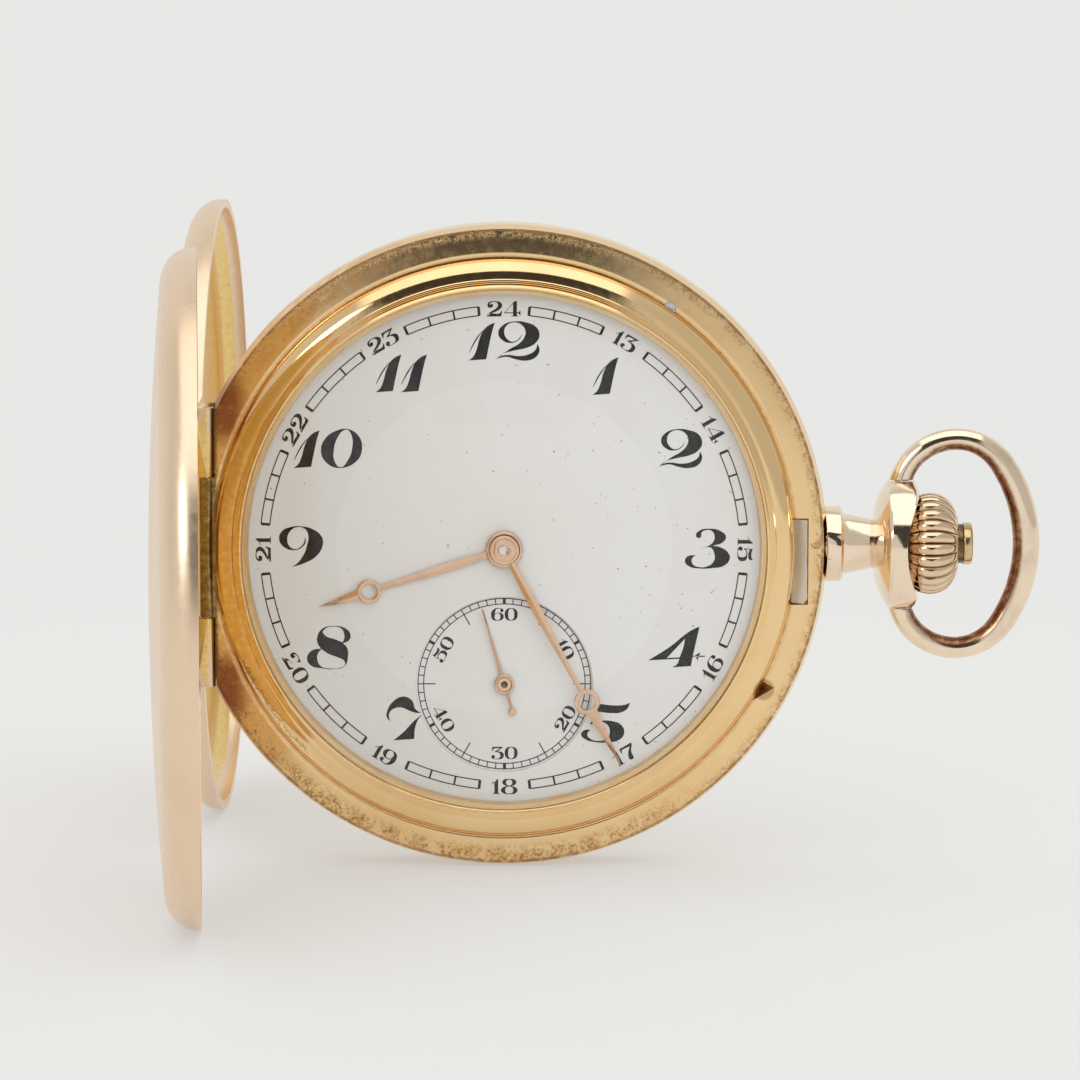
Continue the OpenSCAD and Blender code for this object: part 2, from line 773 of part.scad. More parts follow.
// Bow: round stock on an oval, brazed where its arcs meet, with a trunnion in each foot
module bow() {
    braze = 0.02;
    gap_arc = 2 * braze / bow_arc_r * 180 / PI;
    gap_bend = 2 * braze / bow_bend_r * 180 / PI;
    color("tan")
    stand()
        translate([bow_mid_x, 0, stem_z]) {
            bow_arc([-bow_shift, 0], bow_arc_r, gap_arc - bow_join, bow_join - gap_arc);
            for (s = [0, 1])
                mirror([0, s, 0]) {
                    translate([bow_bend_r * cos(bow_join), bend_y + bow_bend_r * sin(bow_join), 0])
                        rotate([90, 0, bow_join])
                            sphere(bow_stock_r + braze);
                    difference() {
                        bow_arc([0, bend_y], bow_bend_r, bow_join + gap_bend, 183);
                        block(-2 * bow_bend_r, 0, 0, foot_y, -2, 2);
                    }
                    bar_y(bow_pivot_x - bow_mid_x, 0, 0.5, cup_r - 0.7, foot_y + 0.6);
                }
        }
}

module bow_arc(c, r, a0, a1) {
    translate([c[0], c[1], 0])
        rotate([0, 0, a0])
            rotate_extrude(angle = a1 - a0)
                translate([r, 0])
                    circle(bow_stock_r);
}

// Crown: onion form with grooves that follow it, and a recess for the push-button
module crown() {
    x1 = crown_x + crown_len;
    onion_r = crown_len / 2 + 0.1;
    mid = [crown_x + crown_len / 2 - 0.1, crown_r - onion_r];
    color("tan")
    stand()
        difference() {
            turned(concat(
                [[crown_x, 0]],
                [for (t = [155:-10:25]) [mid[0] + onion_r * cos(t), mid[1] + onion_r * sin(t)]],
                [[x1 - 0.1, button_r + 0.6], [x1, button_r + 0.45], [x1, 0]]
            ));
            for (i = [0:flutes - 1])
                translate([mid[0], 0, stem_z])
                    rotate([360 * (i + 0.5) / flutes, 0, 0])
                        translate([0, mid[1], 0])
                            rotate([0, 0, 5])
                                rotate_extrude(angle = 170)
                                    translate([onion_r + 0.16, 0])
                                        circle(flute_r, $fn = 24);
            rod(button_r + 0.2, x1 - 0.9, x1 + 1);
            rod(0.7 + run_fit, x1 - 1.8, x1);
            rod(stem_r, crown_x - 1, crown_x + 1.8);
        }
}

module push_button() {
    x1 = crown_x + crown_len;
    color("goldenrod")
    stand()
        turned([
            [x1 - 1.4, 0], [x1 - 1.4, 0.7], [x1 - 0.5, 0.7], [x1 - 0.5, button_r],
            [x1 + 1.05, button_r], [x1 + 1.25, button_r - 0.25], [x1 + 1.35, 0]
        ]);
}

module stem() {
    color("silver")
    stand()
        rod(stem_r, winding_x - 3, crown_x + 1.7);
}

// Two screws whose heads lap over the main plate's edge
module case_screws() {
    color("silver")
    stand()
        for (p = case_screw_p)
            screw(p, -band_half, screw_head_r, screw_head_t, screw_r,
                plate_bot + band_half - screw_head_t + 0.9);
}

// Flat link between two points, with round ends of width w and slightly narrower sides
module link2d(a, b, w) {
    d = b - a;
    n = [-d[1], d[0]] / norm(d) * 0.47 * w;
    polygon([a + n, b + n, b - n, a - n]);
    translate(a)
        circle(w / 2);
    translate(b)
        circle(w / 2);
}

module dial() {
    color("ivory")
    stand()
        difference() {
            union() {
                disc([0, 0], dial_r, dial_seat, dial_top);
                for (p = feet)
                    disc(p, 0.45, dial_seat - 1.2, dial_seat + 0.1);
            }
            disc([0, 0], pipe_out_r + 0.15, 0, 2 * dial_top);
            disc(fourth_p, sub_r, 0, 2 * dial_top);
            disc(fourth_p, sub_r + 0.45, 0, dial_top - sub_sink + 0.01);
        }
}

module seconds_dial() {
    color("ivory")
    stand()
        ring(fourth_p, sub_r + 0.4, 0.45, dial_seat, dial_top - sub_sink);
}

// Hand with an open ring near its tip, pointing to Y
module ring_hand(reach, ring_y, ring_r, hub_r, bore, w0, w1) {
    linear_extrude(hand_t)
        difference() {
            union() {
                circle(hub_r);
                polygon([[-w0 / 2, 0], [w0 / 2, 0], [w1 / 2, ring_y], [-w1 / 2, ring_y]]);
                translate([0, ring_y])
                    circle(ring_r);
                polygon([[-ring_r * 0.5, ring_y + ring_r * 0.75],
                    [ring_r * 0.5, ring_y + ring_r * 0.75],
                    [ring_r * 0.2, ring_y + ring_r * 1.35], [0, reach],
                    [-ring_r * 0.2, ring_y + ring_r * 1.35]]);
            }
            circle(bore);
            translate([0, ring_y + 0.12 * ring_r])
                circle(ring_r * 0.58);
        }
}

module hour_hand() {
    color("peru")
    stand()
        at([0, 0], hour_hand_z)
            rotate([0, 0, -hour_turn])
                ring_hand(hour_len, 0.73 * hour_len, 0.96, 1.45, pipe_out_r, 0.75, 0.5);
}

module minute_hand() {
    color("peru")
    stand()
        at([0, 0], minute_hand_z)
            rotate([0, 0, -minute_turn])
                ring_hand(minute_len, 0.706 * minute_len, 1.04, 1.12, cannon_body_r, 0.7, 0.42);
}

module seconds_hand() {
    tail = 0.42 * second_len;
    color("peru")
    stand()
        at(fourth_p, second_hand_z)
            rotate([0, 0, -second_turn])
                linear_extrude(hand_t * 0.8)
                    difference() {
                        union() {
                            circle(0.74);
                            polygon([[-0.12, 0.3 - tail], [0.12, 0.3 - tail], [0.16, 0],
                                [0.05, second_len], [-0.05, second_len], [-0.16, 0]]);
                            translate([0, -tail + 0.35])
                                circle(0.35);
                        }
                        circle(seconds_arbor_r);
                    }
}

// Lower plate with its pillars, motion-work recess, jewel seats and stem bearing
module main_plate() {
    color("silver")
    stand()
        difference() {
            union() {
                disc([0, 0], plate_r, plate_bot, plate_top - 0.3);
                disc([0, 0], flange_r, plate_top - 0.6, plate_top);
                for (p = pillars)
                    disc(p, pillar_r, bridge_top, plate_bot + 0.1);
                disc(cock_foot, cock_r, cock_top, plate_bot + 0.1);
                block(winding_x + winding_w / 2 + 0.5, plate_r - 0.4, -1.7, 1.7,
                    stem_z - 0.9, plate_bot + 0.1);
            }
            difference() {
                union() {
                    disc([0, 0], hour_mod * hour_n / 2 + 0.6, recess_floor, plate_top + 1);
                    disc(minute_p, cannon_mod * minute_n / 2 + 0.45, recess_floor, plate_top + 1);
                }
                disc(minute_p, arbor_r, recess_floor - 0.1, dial_seat - 0.2);
            }
            disc([0, 0], centre_r + run_fit, plate_bot - 1, plate_top + 1);
            disc(fourth_p, seconds_arbor_r + 0.08, plate_bot - 1, plate_top + 1);
            disc(barrel_p, 0.8 + run_fit, plate_bot - 1, plate_bot + 0.7);
            for (p = [third_p, fourth_p, escape_p, fork_p, balance_p])
                disc(p, jewel_r, plate_bot - 0.1, plate_bot + jewel_t);
            for (p = feet)
                disc(p, 0.5, plate_bot + 0.3, plate_top + 1);
            for (p = pillars)
                disc(p, screw_r, bridge_top - 0.1, bridge_top + 1);
            for (p = case_screw_p)
                disc(p, screw_r, plate_bot - 0.1, plate_bot + 0.9);
            disc(cock_foot, screw_r, cock_top - 0.1, cock_top + 1.2);
            for (p = fork_feet)
                disc(p, 0.35, plate_bot - 0.1, plate_bot + 0.6);
            rod(winding_r + wind_mod + 0.1, winding_x - 3, winding_x + winding_w / 2 + 0.5);
            rod(stem_r + run_fit, winding_x, case_r);
        }
}

// Three-quarter plate over the train, open round the balance
module bridge_plate() {
    out = balance_p / norm(balance_p);
    r = plate_r - 0.6;
    open_r = balance_r + 0.7;
    color("khaki")
    stand()
        difference() {
            disc([0, 0], r, bridge_bot, bridge_top);
            disc(balance_p, open_r, bridge_bot - 1, bridge_top + 1);
            disc(balance_p + out * balance_r, open_r, bridge_bot - 1, bridge_top + 1);
            at([0, 0], bridge_bot - 1)
                linear_extrude(bridge_t + 2)
                    link2d(cock_foot, balance_p, 2 * cock_r + 0.4);
            disc(barrel_p, ratchet_r + wind_mod + 0.25, bridge_bot - 1, recess_bot);
            difference() {
                disc(crown_wheel_p, crown_wheel_r + wind_mod + 0.2, bridge_bot - 1, recess_bot);
                disc(crown_wheel_p, 1.6, bridge_bot, recess_bot + 0.1);
            }
            disc(crown_wheel_p, 1.6, bridge_bot - 1, ratchet_z[0] - 0.03);
            disc(crown_wheel_p, screw_r, bridge_bot - 1, bridge_top - 0.1);
            disc(click_p, 2.3, bridge_bot - 1, recess_bot);
            disc(click_p, 0.5, bridge_bot - 1, bridge_top - 0.1);
            block(winding_x - winding_w / 2 - 0.1, winding_x + winding_w / 2 + 0.15,
                -1.6, 1.6, bridge_bot, bridge_top + 1);
            disc(barrel_p, 1.2 + run_fit, bridge_bot, bridge_top + 1);
            block(winding_x + 0.6, case_r, -1.8, 1.8, bridge_bot + 0.4, bridge_top + 1);
            for (p = [third_p, fourth_p]) {
                disc(p, jewel_r, bridge_bot - 1, bridge_bot + jewel_t);
                disc(p, arbor_r + 0.06, bridge_bot, bridge_top + 1);
            }
            disc([0, 0], 1.1, bridge_bot - 1, bridge_bot + jewel_t);
            disc([0, 0], centre_r + 0.06, bridge_bot, bridge_top + 1);
            for (p = pillars) {
                disc(p, screw_head_r + 0.03, bridge_bot - 1, bridge_bot + screw_head_t);
                disc(p, screw_r, bridge_bot, bridge_top + 1);
            }
            for (p = case_screw_p) {
                disc(p, screw_head_r + 0.05, bridge_bot - 1, -band_half + screw_head_t);
                disc(p, screw_r + 0.05, bridge_bot, bridge_top + 1);
            }
        }
}

module bridge_screws() {
    color("steelblue")
    stand() {
        for (p = pillars)
            screw(p, bridge_bot, screw_head_r, screw_head_t, screw_r, bridge_t - screw_head_t + 0.9);
        for (p = fork_feet)
            screw(p, fork_bridge_z[0] - 0.05, 0.6, 0.25, 0.35,
                plate_bot - fork_bridge_z[0] + 0.2);
    }
}

// Ruby bearings in the plates, the escapement bridge and the cock
module jewels() {
    color("crimson")
    stand() {
        for (p = [third_p, escape_p, fork_p, balance_p])
            ring(p, jewel_r, pivot_r + run_fit, plate_bot, plate_bot + jewel_t);
        ring(fourth_p, jewel_r, seconds_arbor_r + run_fit, plate_bot, plate_bot + jewel_t);
        for (p = [third_p, fourth_p])
            ring(p, jewel_r, pivot_r + run_fit, bridge_bot, bridge_bot + jewel_t);
        ring([0, 0], 1.1, 0.25 + run_fit, bridge_bot, bridge_bot + jewel_t);
        for (p = [escape_p, fork_p])
            ring(p, 0.6, pivot_r + run_fit, fork_bridge_z[0], fork_bridge_z[1]);
        ring(balance_p, jewel_r, pivot_r + run_fit, cock_bot, cock_bot + jewel_t);
    }
}

module barrel() {
    phase = mesh(centre_phase, centre_pinion_n, barrel_n, barrel_a);
    color("gold")
    stand()
        at(barrel_p)
            difference() {
                union() {
                    leaves(barrel_n, barrel_mod, phase, barrel_z[1], barrel_z[2]);
                    disc([0, 0], barrel_drum_r, barrel_z[0], barrel_z[1] + 0.05);
                }
                disc([0, 0], barrel_drum_r - 0.35, cavity_z[0], cavity_z[1]);
                disc([0, 0], 1.2 + run_fit, barrel_z[0] - 1, cavity_z[1]);
                disc([0, 0], 0.8 + run_fit, barrel_z[0], barrel_z[2] + 1);
            }
}

module barrel_arbor() {
    color("silver")
    stand()
        at(barrel_p)
            difference() {
                union() {
                    disc([0, 0], 1.2, ratchet_z[0], cavity_z[0] + 0.1);
                    disc([0, 0], 1.7, cavity_z[0] + 0.05, cavity_z[1] - 0.05);
                    disc([0, 0], 0.8, cavity_z[1] - 0.1, plate_bot + 0.6);
                }
                disc([0, 0], screw_r, ratchet_z[0] - 1, ratchet_z[0] + 0.8);
            }
}

// Spiral strip of width w from radius r0 to r1
function spiral(r0, r1, turns, w, a0, steps) = concat(
    [for (i = [0:turns * steps])
        polar(r0 + (r1 - r0) * i / (turns * steps), a0 + 360 * i / steps)],
    [for (i = [turns * steps:-1:0])
        polar(r0 - w + (r1 - r0) * i / (turns * steps), a0 + 360 * i / steps)]
);

module mainspring() {
    color("steelblue")
    stand()
        at(barrel_p, cavity_z[0] + 0.1)
            linear_extrude(cavity_z[1] - cavity_z[0] - 0.2)
                polygon(spiral(2.1, barrel_drum_r - 0.8, 9, 0.2, 0, 24));
}

module ratchet_wheel() {
    th = atan2(barrel_p[1] - crown_wheel_p[1], barrel_p[0] - crown_wheel_p[0]);
    phase = mesh(crown_phase, crown_wheel_n, ratchet_n, th);
    color("silver")
    stand()
        at(barrel_p)
            difference() {
                leaves(ratchet_n, wind_mod, phase, ratchet_z[0], ratchet_z[1]);
                disc([0, 0], 1.2, ratchet_z[0] - 1, ratchet_z[1] + 1);
                ring([0, 0], ratchet_r - 2.3, ratchet_r - 3.9, ratchet_z[0] - 1,
                    ratchet_z[0] + 0.12);
            }
}

module ratchet_screw() {
    color("steelblue")
    stand()
        screw(barrel_p, ratchet_z[0] - 0.35, 1.9, 0.35, screw_r, 0.7);
}

module crown_wheel() {
    color("silver")
    stand()
        at(crown_wheel_p)
            difference() {
                leaves(crown_wheel_n, wind_mod, crown_phase, ratchet_z[0], ratchet_z[1]);
                disc([0, 0], 1.6 + run_fit, ratchet_z[0] - 1, ratchet_z[1] + 1);
                ring([0, 0], crown_wheel_r - 0.9, crown_wheel_r - 1.9, ratchet_z[0] - 1,
                    ratchet_z[0] + 0.12);
            }
}

module crown_wheel_screw() {
    color("steelblue")
    stand()
        screw(crown_wheel_p, ratchet_z[0] - 0.38, 2.1, 0.35, screw_r, 0.9);
}

module click() {
    d = barrel_p - click_p;
    reach = norm(d) - ratchet_r - 0.7 * wind_mod - 0.08;
    color("silver")
    stand()
        translate([click_p[0], click_p[1], ratchet_z[0]])
            rotate([0, 0, atan2(d[1], d[0])])
                linear_extrude(ratchet_z[1] - ratchet_z[0])
                    difference() {
                        union() {
                            circle(1.1);
                            polygon([[0, -1.1], [reach - 0.3, -0.75], [reach, -0.15],
                                [0.5, 0.9]]);
                        }
                        circle(0.5 + run_fit);
                    }
}

module click_spring() {
    color("silver")
    stand() {
        at(click_p, ratchet_z[0] + 0.1)
            linear_extrude(0.3)
                polygon(concat(arc([0, 0], 2.15, 60, 290, 24), arc([0, 0], 1.95, 290, 60, 24)));
        difference() {
            union() {
                disc(click_p, 0.5, ratchet_z[0] - 0.05, bridge_top - 0.1);
                disc(click_p, 0.9, ratchet_z[0] - 0.3, ratchet_z[0] - 0.05);
            }
            translate([click_p[0], click_p[1], ratchet_z[0] - 0.3])
                block(-2, 2, -slot_w / 2, slot_w / 2, -1, slot_d);
        }
    }
}

module winding_pinion() {
    color("silver")
    stand()
        difference() {
            translate([winding_x - winding_w / 2, 0, stem_z])
                rotate([0, 90, 0])
                    linear_extrude(winding_w)
                        polygon(teeth(winding_pinion_n, wind_mod, 0));
            rod(stem_r + run_fit, 0, case_r);
        }
}

module sliding_pinion() {
    x1 = winding_x - winding_w / 2;
    color("silver")
    stand()
        difference() {
            turned([
                [x1 - 2.3, 0], [x1 - 2.3, 1.2], [x1 - 1.5, 1.2], [x1 - 1.5, 0.95],
                [x1 - 1, 0.95], [x1 - 1, 1.25], [x1, 1.25], [x1, 0]
            ]);
            rod(stem_r + run_fit, 0, case_r);
        }
}

module centre_wheel() {
    color("gold")
    stand() {
        spoked(centre_n, centre_mod, third_a, centre_wheel_z[0], centre_wheel_z[1],
            1.5, 0.5, 5, 0.6);
        leaves(centre_pinion_n, barrel_mod, centre_phase, plate_bot - 0.9, plate_bot - 0.3);
        disc([0, 0], centre_r, bridge_bot + jewel_t + 0.02, recess_floor);
        disc([0, 0], 0.25, bridge_bot + 0.1, recess_floor);
        disc([0, 0], 0.35, plate_bot, minute_hand_z + hand_t + 0.35);
    }
}

module third_wheel() {
    color("gold")
    stand()
        at(third_p) {
            spoked(third_n, third_mod, third_to_fourth_a, plate_bot - 1.6, plate_bot - 1.45,
                1.2, 0.45, 5, 0.5);
            leaves(third_pinion_n, centre_mod, third_phase, plate_bot - 0.4, plate_bot - 0.1);
            arbor(bridge_bot + jewel_t + 0.02, plate_bot - 0.02);
        }
}

module fourth_wheel() {
    pinion_phase = mesh(third_to_fourth_a, third_n, fourth_pinion_n, third_to_fourth_a);
    color("gold")
    stand()
        at(fourth_p) {
            spoked(fourth_n, fourth_mod, escape_a, plate_bot - 0.7, plate_bot - 0.55,
                1, 0.4, 5, 0.45);
            leaves(fourth_pinion_n, third_mod, pinion_phase, plate_bot - 1.7, plate_bot - 1.3);
            disc([0, 0], arbor_r, bridge_bot + jewel_t + 0.02, plate_bot - 0.02);
            disc([0, 0], pivot_r, bridge_bot + 0.05, plate_bot);
            disc([0, 0], seconds_arbor_r, plate_bot - 0.1, second_hand_z + hand_t + 0.1);
        }
}

module escape_wheel() {
    pinion_phase = mesh(escape_a, fourth_n, escape_pinion_n, escape_a);
    color("gold")
    stand()
        at(escape_p) {
            at([0, 0], plate_bot - 1.15)
                linear_extrude(0.15)
                    difference() {
                        polygon([for (i = [0:escape_n - 1], k = [0:3])
                            polar(escape_r * [0.76, 0.97, 1, 0.76][k],
                                360 * i / escape_n + [0, 9, 6.5, -5][3 - k])]);
                        for (i = [0:3])
                            polygon(concat(
                                arc([0, 0], 0.8, 90 * i + 15, 90 * i + 75, 3),
                                arc([0, 0], 0.62 * escape_r, 90 * i + 84, 90 * i + 6, 5)
                            ));
                    }
            leaves(escape_pinion_n, fourth_mod, pinion_phase, plate_bot - 0.8, plate_bot - 0.45);
            arbor(fork_bridge_z[1] + 0.02, plate_bot - 0.02, 0.22);
        }
}

// Lever with two pallet stones that stand clear of the escape wheel's tips
module pallet_fork() {
    stones = [for (s = [-1, 1]) escape_p + polar(escape_r + 0.55, balance_a + 30 * s)];
    notch = balance_p - polar(0.95, balance_a);
    color("gold")
    stand() {
        at([0, 0], plate_bot - 1.2)
            linear_extrude(0.25)
                difference() {
                    union() {
                        link2d(fork_p, stones[0], 0.4);
                        link2d(fork_p, stones[1], 0.4);
                        link2d(fork_p, notch, 0.35);
                        translate(notch)
                            circle(0.42);
                    }
                    translate(notch)
                        rotate(balance_a)
                            translate([-0.15, -0.17])
                                square([2, 0.34]);
                }
        at(fork_p)
            arbor(fork_bridge_z[1] + 0.02, plate_bot - 0.02, 0.22);
    }
}

module escapement_bridge() {
    color("khaki")
    stand()
        difference() {
            union() {
                at([0, 0], fork_bridge_z[0])
                    linear_extrude(fork_bridge_z[1] - fork_bridge_z[0]) {
                        link2d(fork_feet[0], escape_p, 1.7);
                        link2d(escape_p, fork_p, 1.7);
                        link2d(fork_p, fork_feet[1], 1.7);
                    }
                for (p = fork_feet)
                    disc(p, 0.85, fork_bridge_z[1] - 0.1, plate_bot);
            }
            for (p = [escape_p, fork_p])
                disc(p, 0.6, fork_bridge_z[0] - 1, fork_bridge_z[1] + 0.01);
            for (p = fork_feet) {
                disc(p, 0.35, fork_bridge_z[0] - 1, plate_bot + 1);
                disc(p, 0.62, fork_bridge_z[0] - 1, fork_bridge_z[0] + 0.2);
            }
        }
}

module balance_wheel() {
    color("gold")
    stand()
        at(balance_p) {
            ring([0, 0], rim_out, rim_out - 0.75, balance_z[0], balance_z[1]);
            difference() {
                union() {
                    block(-rim_out + 0.3, rim_out - 0.3, -0.45, 0.45,
                        balance_z[1] - 0.25, balance_z[1] - 0.1);
                    disc([0, 0], 1.1, balance_z[1] - 0.25, balance_z[1] - 0.1);
                }
                disc([0, 0], staff_r, balance_z[0], balance_z[1]);
            }
        }
}

module balance_screws() {
    mid = (balance_z[0] + balance_z[1]) / 2;
    color("goldenrod")
    stand()
        at(balance_p, mid)
            for (i = [0:13])
                rotate([0, 0, 360 / 14 * (i + 0.5)])
                    rotate([0, 90, 0])
                        translate([0, 0, rim_out])
                            cylinder(r = 0.3, h = balance_r - rim_out, $fn = 24);
}

module balance_staff() {
    color("silver")
    stand()
        at(balance_p) {
            disc([0, 0], staff_r, cock_bot + jewel_t + 0.02, plate_bot - 0.02);
            disc([0, 0], pivot_r, cock_bot + 0.05, plate_bot + jewel_t - 0.05);
            disc([0, 0], 1.1, plate_bot - 1.55, plate_bot - 1.38);
            disc(-polar(0.8, balance_a), 0.14, plate_bot - 1.4, plate_bot - 1.25);
        }
}

module hairspring() {
    color("steelblue")
    stand()
        at(balance_p, bridge_top - 0.75) {
            linear_extrude(0.15)
                polygon(spiral(0.75, balance_r - 4.7, 9, 0.09, 0, 24));
            ring([0, 0], 0.72, staff_r, -0.05, 0.2);
        }
}

module balance_cock() {
    color("khaki")
    stand()
        difference() {
            at([0, 0], cock_bot)
                linear_extrude(cock_top - cock_bot)
                    hull() {
                        translate(cock_foot)
                            circle(cock_r, $fn = 48);
                        translate(balance_p)
                            circle(cock_r - 0.1, $fn = 48);
                    }
            disc(balance_p, jewel_r, cock_bot - 1, cock_bot + jewel_t);
            disc(balance_p, staff_r + 0.06, cock_bot, cock_top + 1);
            disc(cock_foot, screw_r, cock_bot - 1, cock_top + 1);
            disc(cock_foot, screw_head_r + 0.03, cock_bot - 1, cock_bot + screw_head_t);
        }
}

module cock_screw() {
    color("steelblue")
    stand()
        screw(cock_foot, cock_bot, screw_head_r, screw_head_t, screw_r,
            cock_top - cock_bot - screw_head_t + 1.1);
}

// Index lever round the cock's jewel
module regulator() {
    d = cock_foot - balance_p;
    reach = balance_r - 3;
    color("silver")
    stand()
        translate([balance_p[0], balance_p[1], cock_bot - 0.22])
            rotate([0, 0, atan2(d[1], d[0])])
                linear_extrude(0.2)
                    difference() {
                        union() {
                            circle(1.6);
                            polygon([[1, -0.35], [reach, -0.08], [reach, 0.08], [1, 0.35]]);
                        }
                        circle(0.85);
                    }
}

module cannon_pinion() {
    phase = motion_a;
    color("silver")
    stand()
        difference() {
            union() {
                leaves(cannon_n, cannon_mod, phase, cannon_z[0], cannon_z[1]);
                disc([0, 0], cannon_mod * (cannon_n / 2 - 1) - 0.02, cannon_z[0], minute_hand_z);
                disc([0, 0], cannon_body_r, cannon_z[1] + 0.04, minute_hand_z + hand_t + 0.12);
            }
            disc([0, 0], 0.35, 0, 2 * bezel_top);
        }
}

module minute_wheel() {
    phase = mesh(motion_a, cannon_n, minute_n, motion_a);
    color("gold")
    stand()
        at(minute_p)
            difference() {
                union() {
                    leaves(minute_n, cannon_mod, phase, cannon_z[0], cannon_z[1]);
                    leaves(minute_pinion_n, hour_mod, 180 + motion_a, cannon_z[1] - 0.01,
                        cannon_z[1] + 0.4);
                }
                disc([0, 0], arbor_r + run_fit, 0, 2 * bezel_top);
            }
}

module hour_wheel() {
    phase = mesh(180 + motion_a, minute_pinion_n, hour_n, 180 + motion_a);
    color("gold")
    stand()
        difference() {
            union() {
                leaves(hour_n, hour_mod, phase, cannon_z[1] + 0.08, cannon_z[1] + 0.33);
                disc([0, 0], pipe_out_r, cannon_z[1] + 0.08, hour_hand_z + hand_t + 0.06);
            }
            disc([0, 0], pipe_r, 0, 2 * bezel_top);
        }
}

case_band();
bezel();
bezel_pin();
crystal();
front_cover();
back_cover();
cuvette();
hinge_pins();
lift_spring();
lock_spring();
pendant();
pendant_sleeve();
bow();
crown();
push_button();
stem();
case_screws();
dial();
seconds_dial();
hour_hand();
minute_hand();
seconds_hand();
main_plate();
bridge_plate();
bridge_screws();
jewels();
barrel();
barrel_arbor();
mainspring();
ratchet_wheel();
ratchet_screw();
crown_wheel();
crown_wheel_screw();
click();
click_spring();
winding_pinion();
sliding_pinion();
centre_wheel();
third_wheel();
fourth_wheel();
escape_wheel();
pallet_fork();
escapement_bridge();
balance_wheel();
balance_screws();
balance_staff();
hairspring();
balance_cock();
regulator();
cock_screw();
cannon_pinion();
minute_wheel();
hour_wheel();
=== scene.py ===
"""Full hunter pocket watch: its finishes, fine pieces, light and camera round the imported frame."""
import json
import logging
import math
from dataclasses import dataclass, field
from enum import Enum
from typing import Sequence

import bmesh
import bpy
from mathutils import Matrix, Vector


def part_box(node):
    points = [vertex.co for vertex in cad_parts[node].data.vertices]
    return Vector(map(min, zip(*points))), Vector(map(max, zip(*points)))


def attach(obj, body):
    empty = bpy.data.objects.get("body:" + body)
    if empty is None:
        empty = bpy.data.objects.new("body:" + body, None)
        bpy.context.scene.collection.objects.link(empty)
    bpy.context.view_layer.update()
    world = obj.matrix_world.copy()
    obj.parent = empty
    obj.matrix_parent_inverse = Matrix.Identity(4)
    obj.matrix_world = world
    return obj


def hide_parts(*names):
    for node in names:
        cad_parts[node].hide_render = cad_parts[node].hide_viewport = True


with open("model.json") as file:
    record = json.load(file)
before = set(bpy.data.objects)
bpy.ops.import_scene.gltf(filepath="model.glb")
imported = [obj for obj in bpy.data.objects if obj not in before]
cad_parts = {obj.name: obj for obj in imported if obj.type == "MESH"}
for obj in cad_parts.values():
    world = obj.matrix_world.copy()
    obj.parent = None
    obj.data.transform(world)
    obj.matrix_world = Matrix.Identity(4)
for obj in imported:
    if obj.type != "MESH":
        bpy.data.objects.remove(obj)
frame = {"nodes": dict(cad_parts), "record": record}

log = logging.getLogger("watch")
Pair = tuple[float, float]
Triple = tuple[float, float, float]
Colour = Triple
Points = Sequence[Pair]
Socket = bpy.types.NodeSocket
MM = 0.001
INSIDE = "inside"
# Mesh attribute of where gold is darkened: dirt in the crown's grooves, painted shade where the button sinks
# into the crown, brown on the bow's inner side.
DIRT_AND_SHADE = "dirt"


class Axis(Enum):
    """Axis of the watch frame that a turned form is spun about."""

    DIAL = "z"
    STEM = "x"


@dataclass(frozen=True)
class Stand:
    """Turns the watch's own axes (X crown, Y twelve, Z out of the dial, in mm) upright on the floor."""

    centre: Vector

    @classmethod
    def read(cls) -> "Stand":
        """Read the middle of the dial from the frame.

        Returns:
            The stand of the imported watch.
        """
        low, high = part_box("dial")
        return cls(Vector(((low.x + high.x) / 2, 0, (low.z + high.z) / 2)))

    def matrix(self) -> Matrix:
        """Matrix from watch millimetres to frame metres."""
        c = self.centre
        return Matrix(((MM, 0, 0, c.x), (0, 0, -MM, 0), (0, MM, 0, c.z), (0, 0, 0, 1)))

    def point(self, x: float, y: float, z: float) -> Vector:
        """Place one watch point in the frame."""
        return self.matrix() @ Vector((x, y, z))


STAND = Stand.read()


def polar(angle: float, r: float = 1.0) -> Vector:
    """Point of the dial's plane at an angle in degrees from the crown's side."""
    a = math.radians(angle)
    return Vector((math.cos(a), math.sin(a), 0)) * r


def arc(cx: float, cy: float, r: float, a0: float, a1: float, n: int) -> list[Pair]:
    """Points of an arc, angles in degrees."""
    angles = [math.radians(a0 + (a1 - a0) * i / n) for i in range(n + 1)]
    return [(cx + r * math.cos(a), cy + r * math.sin(a)) for a in angles]


@dataclass(frozen=True)
class Grain:
    """A noise pattern: features per millimetre, octaves, and how rough they are."""

    scale: float
    detail: float = 4
    rough: float = 0.55


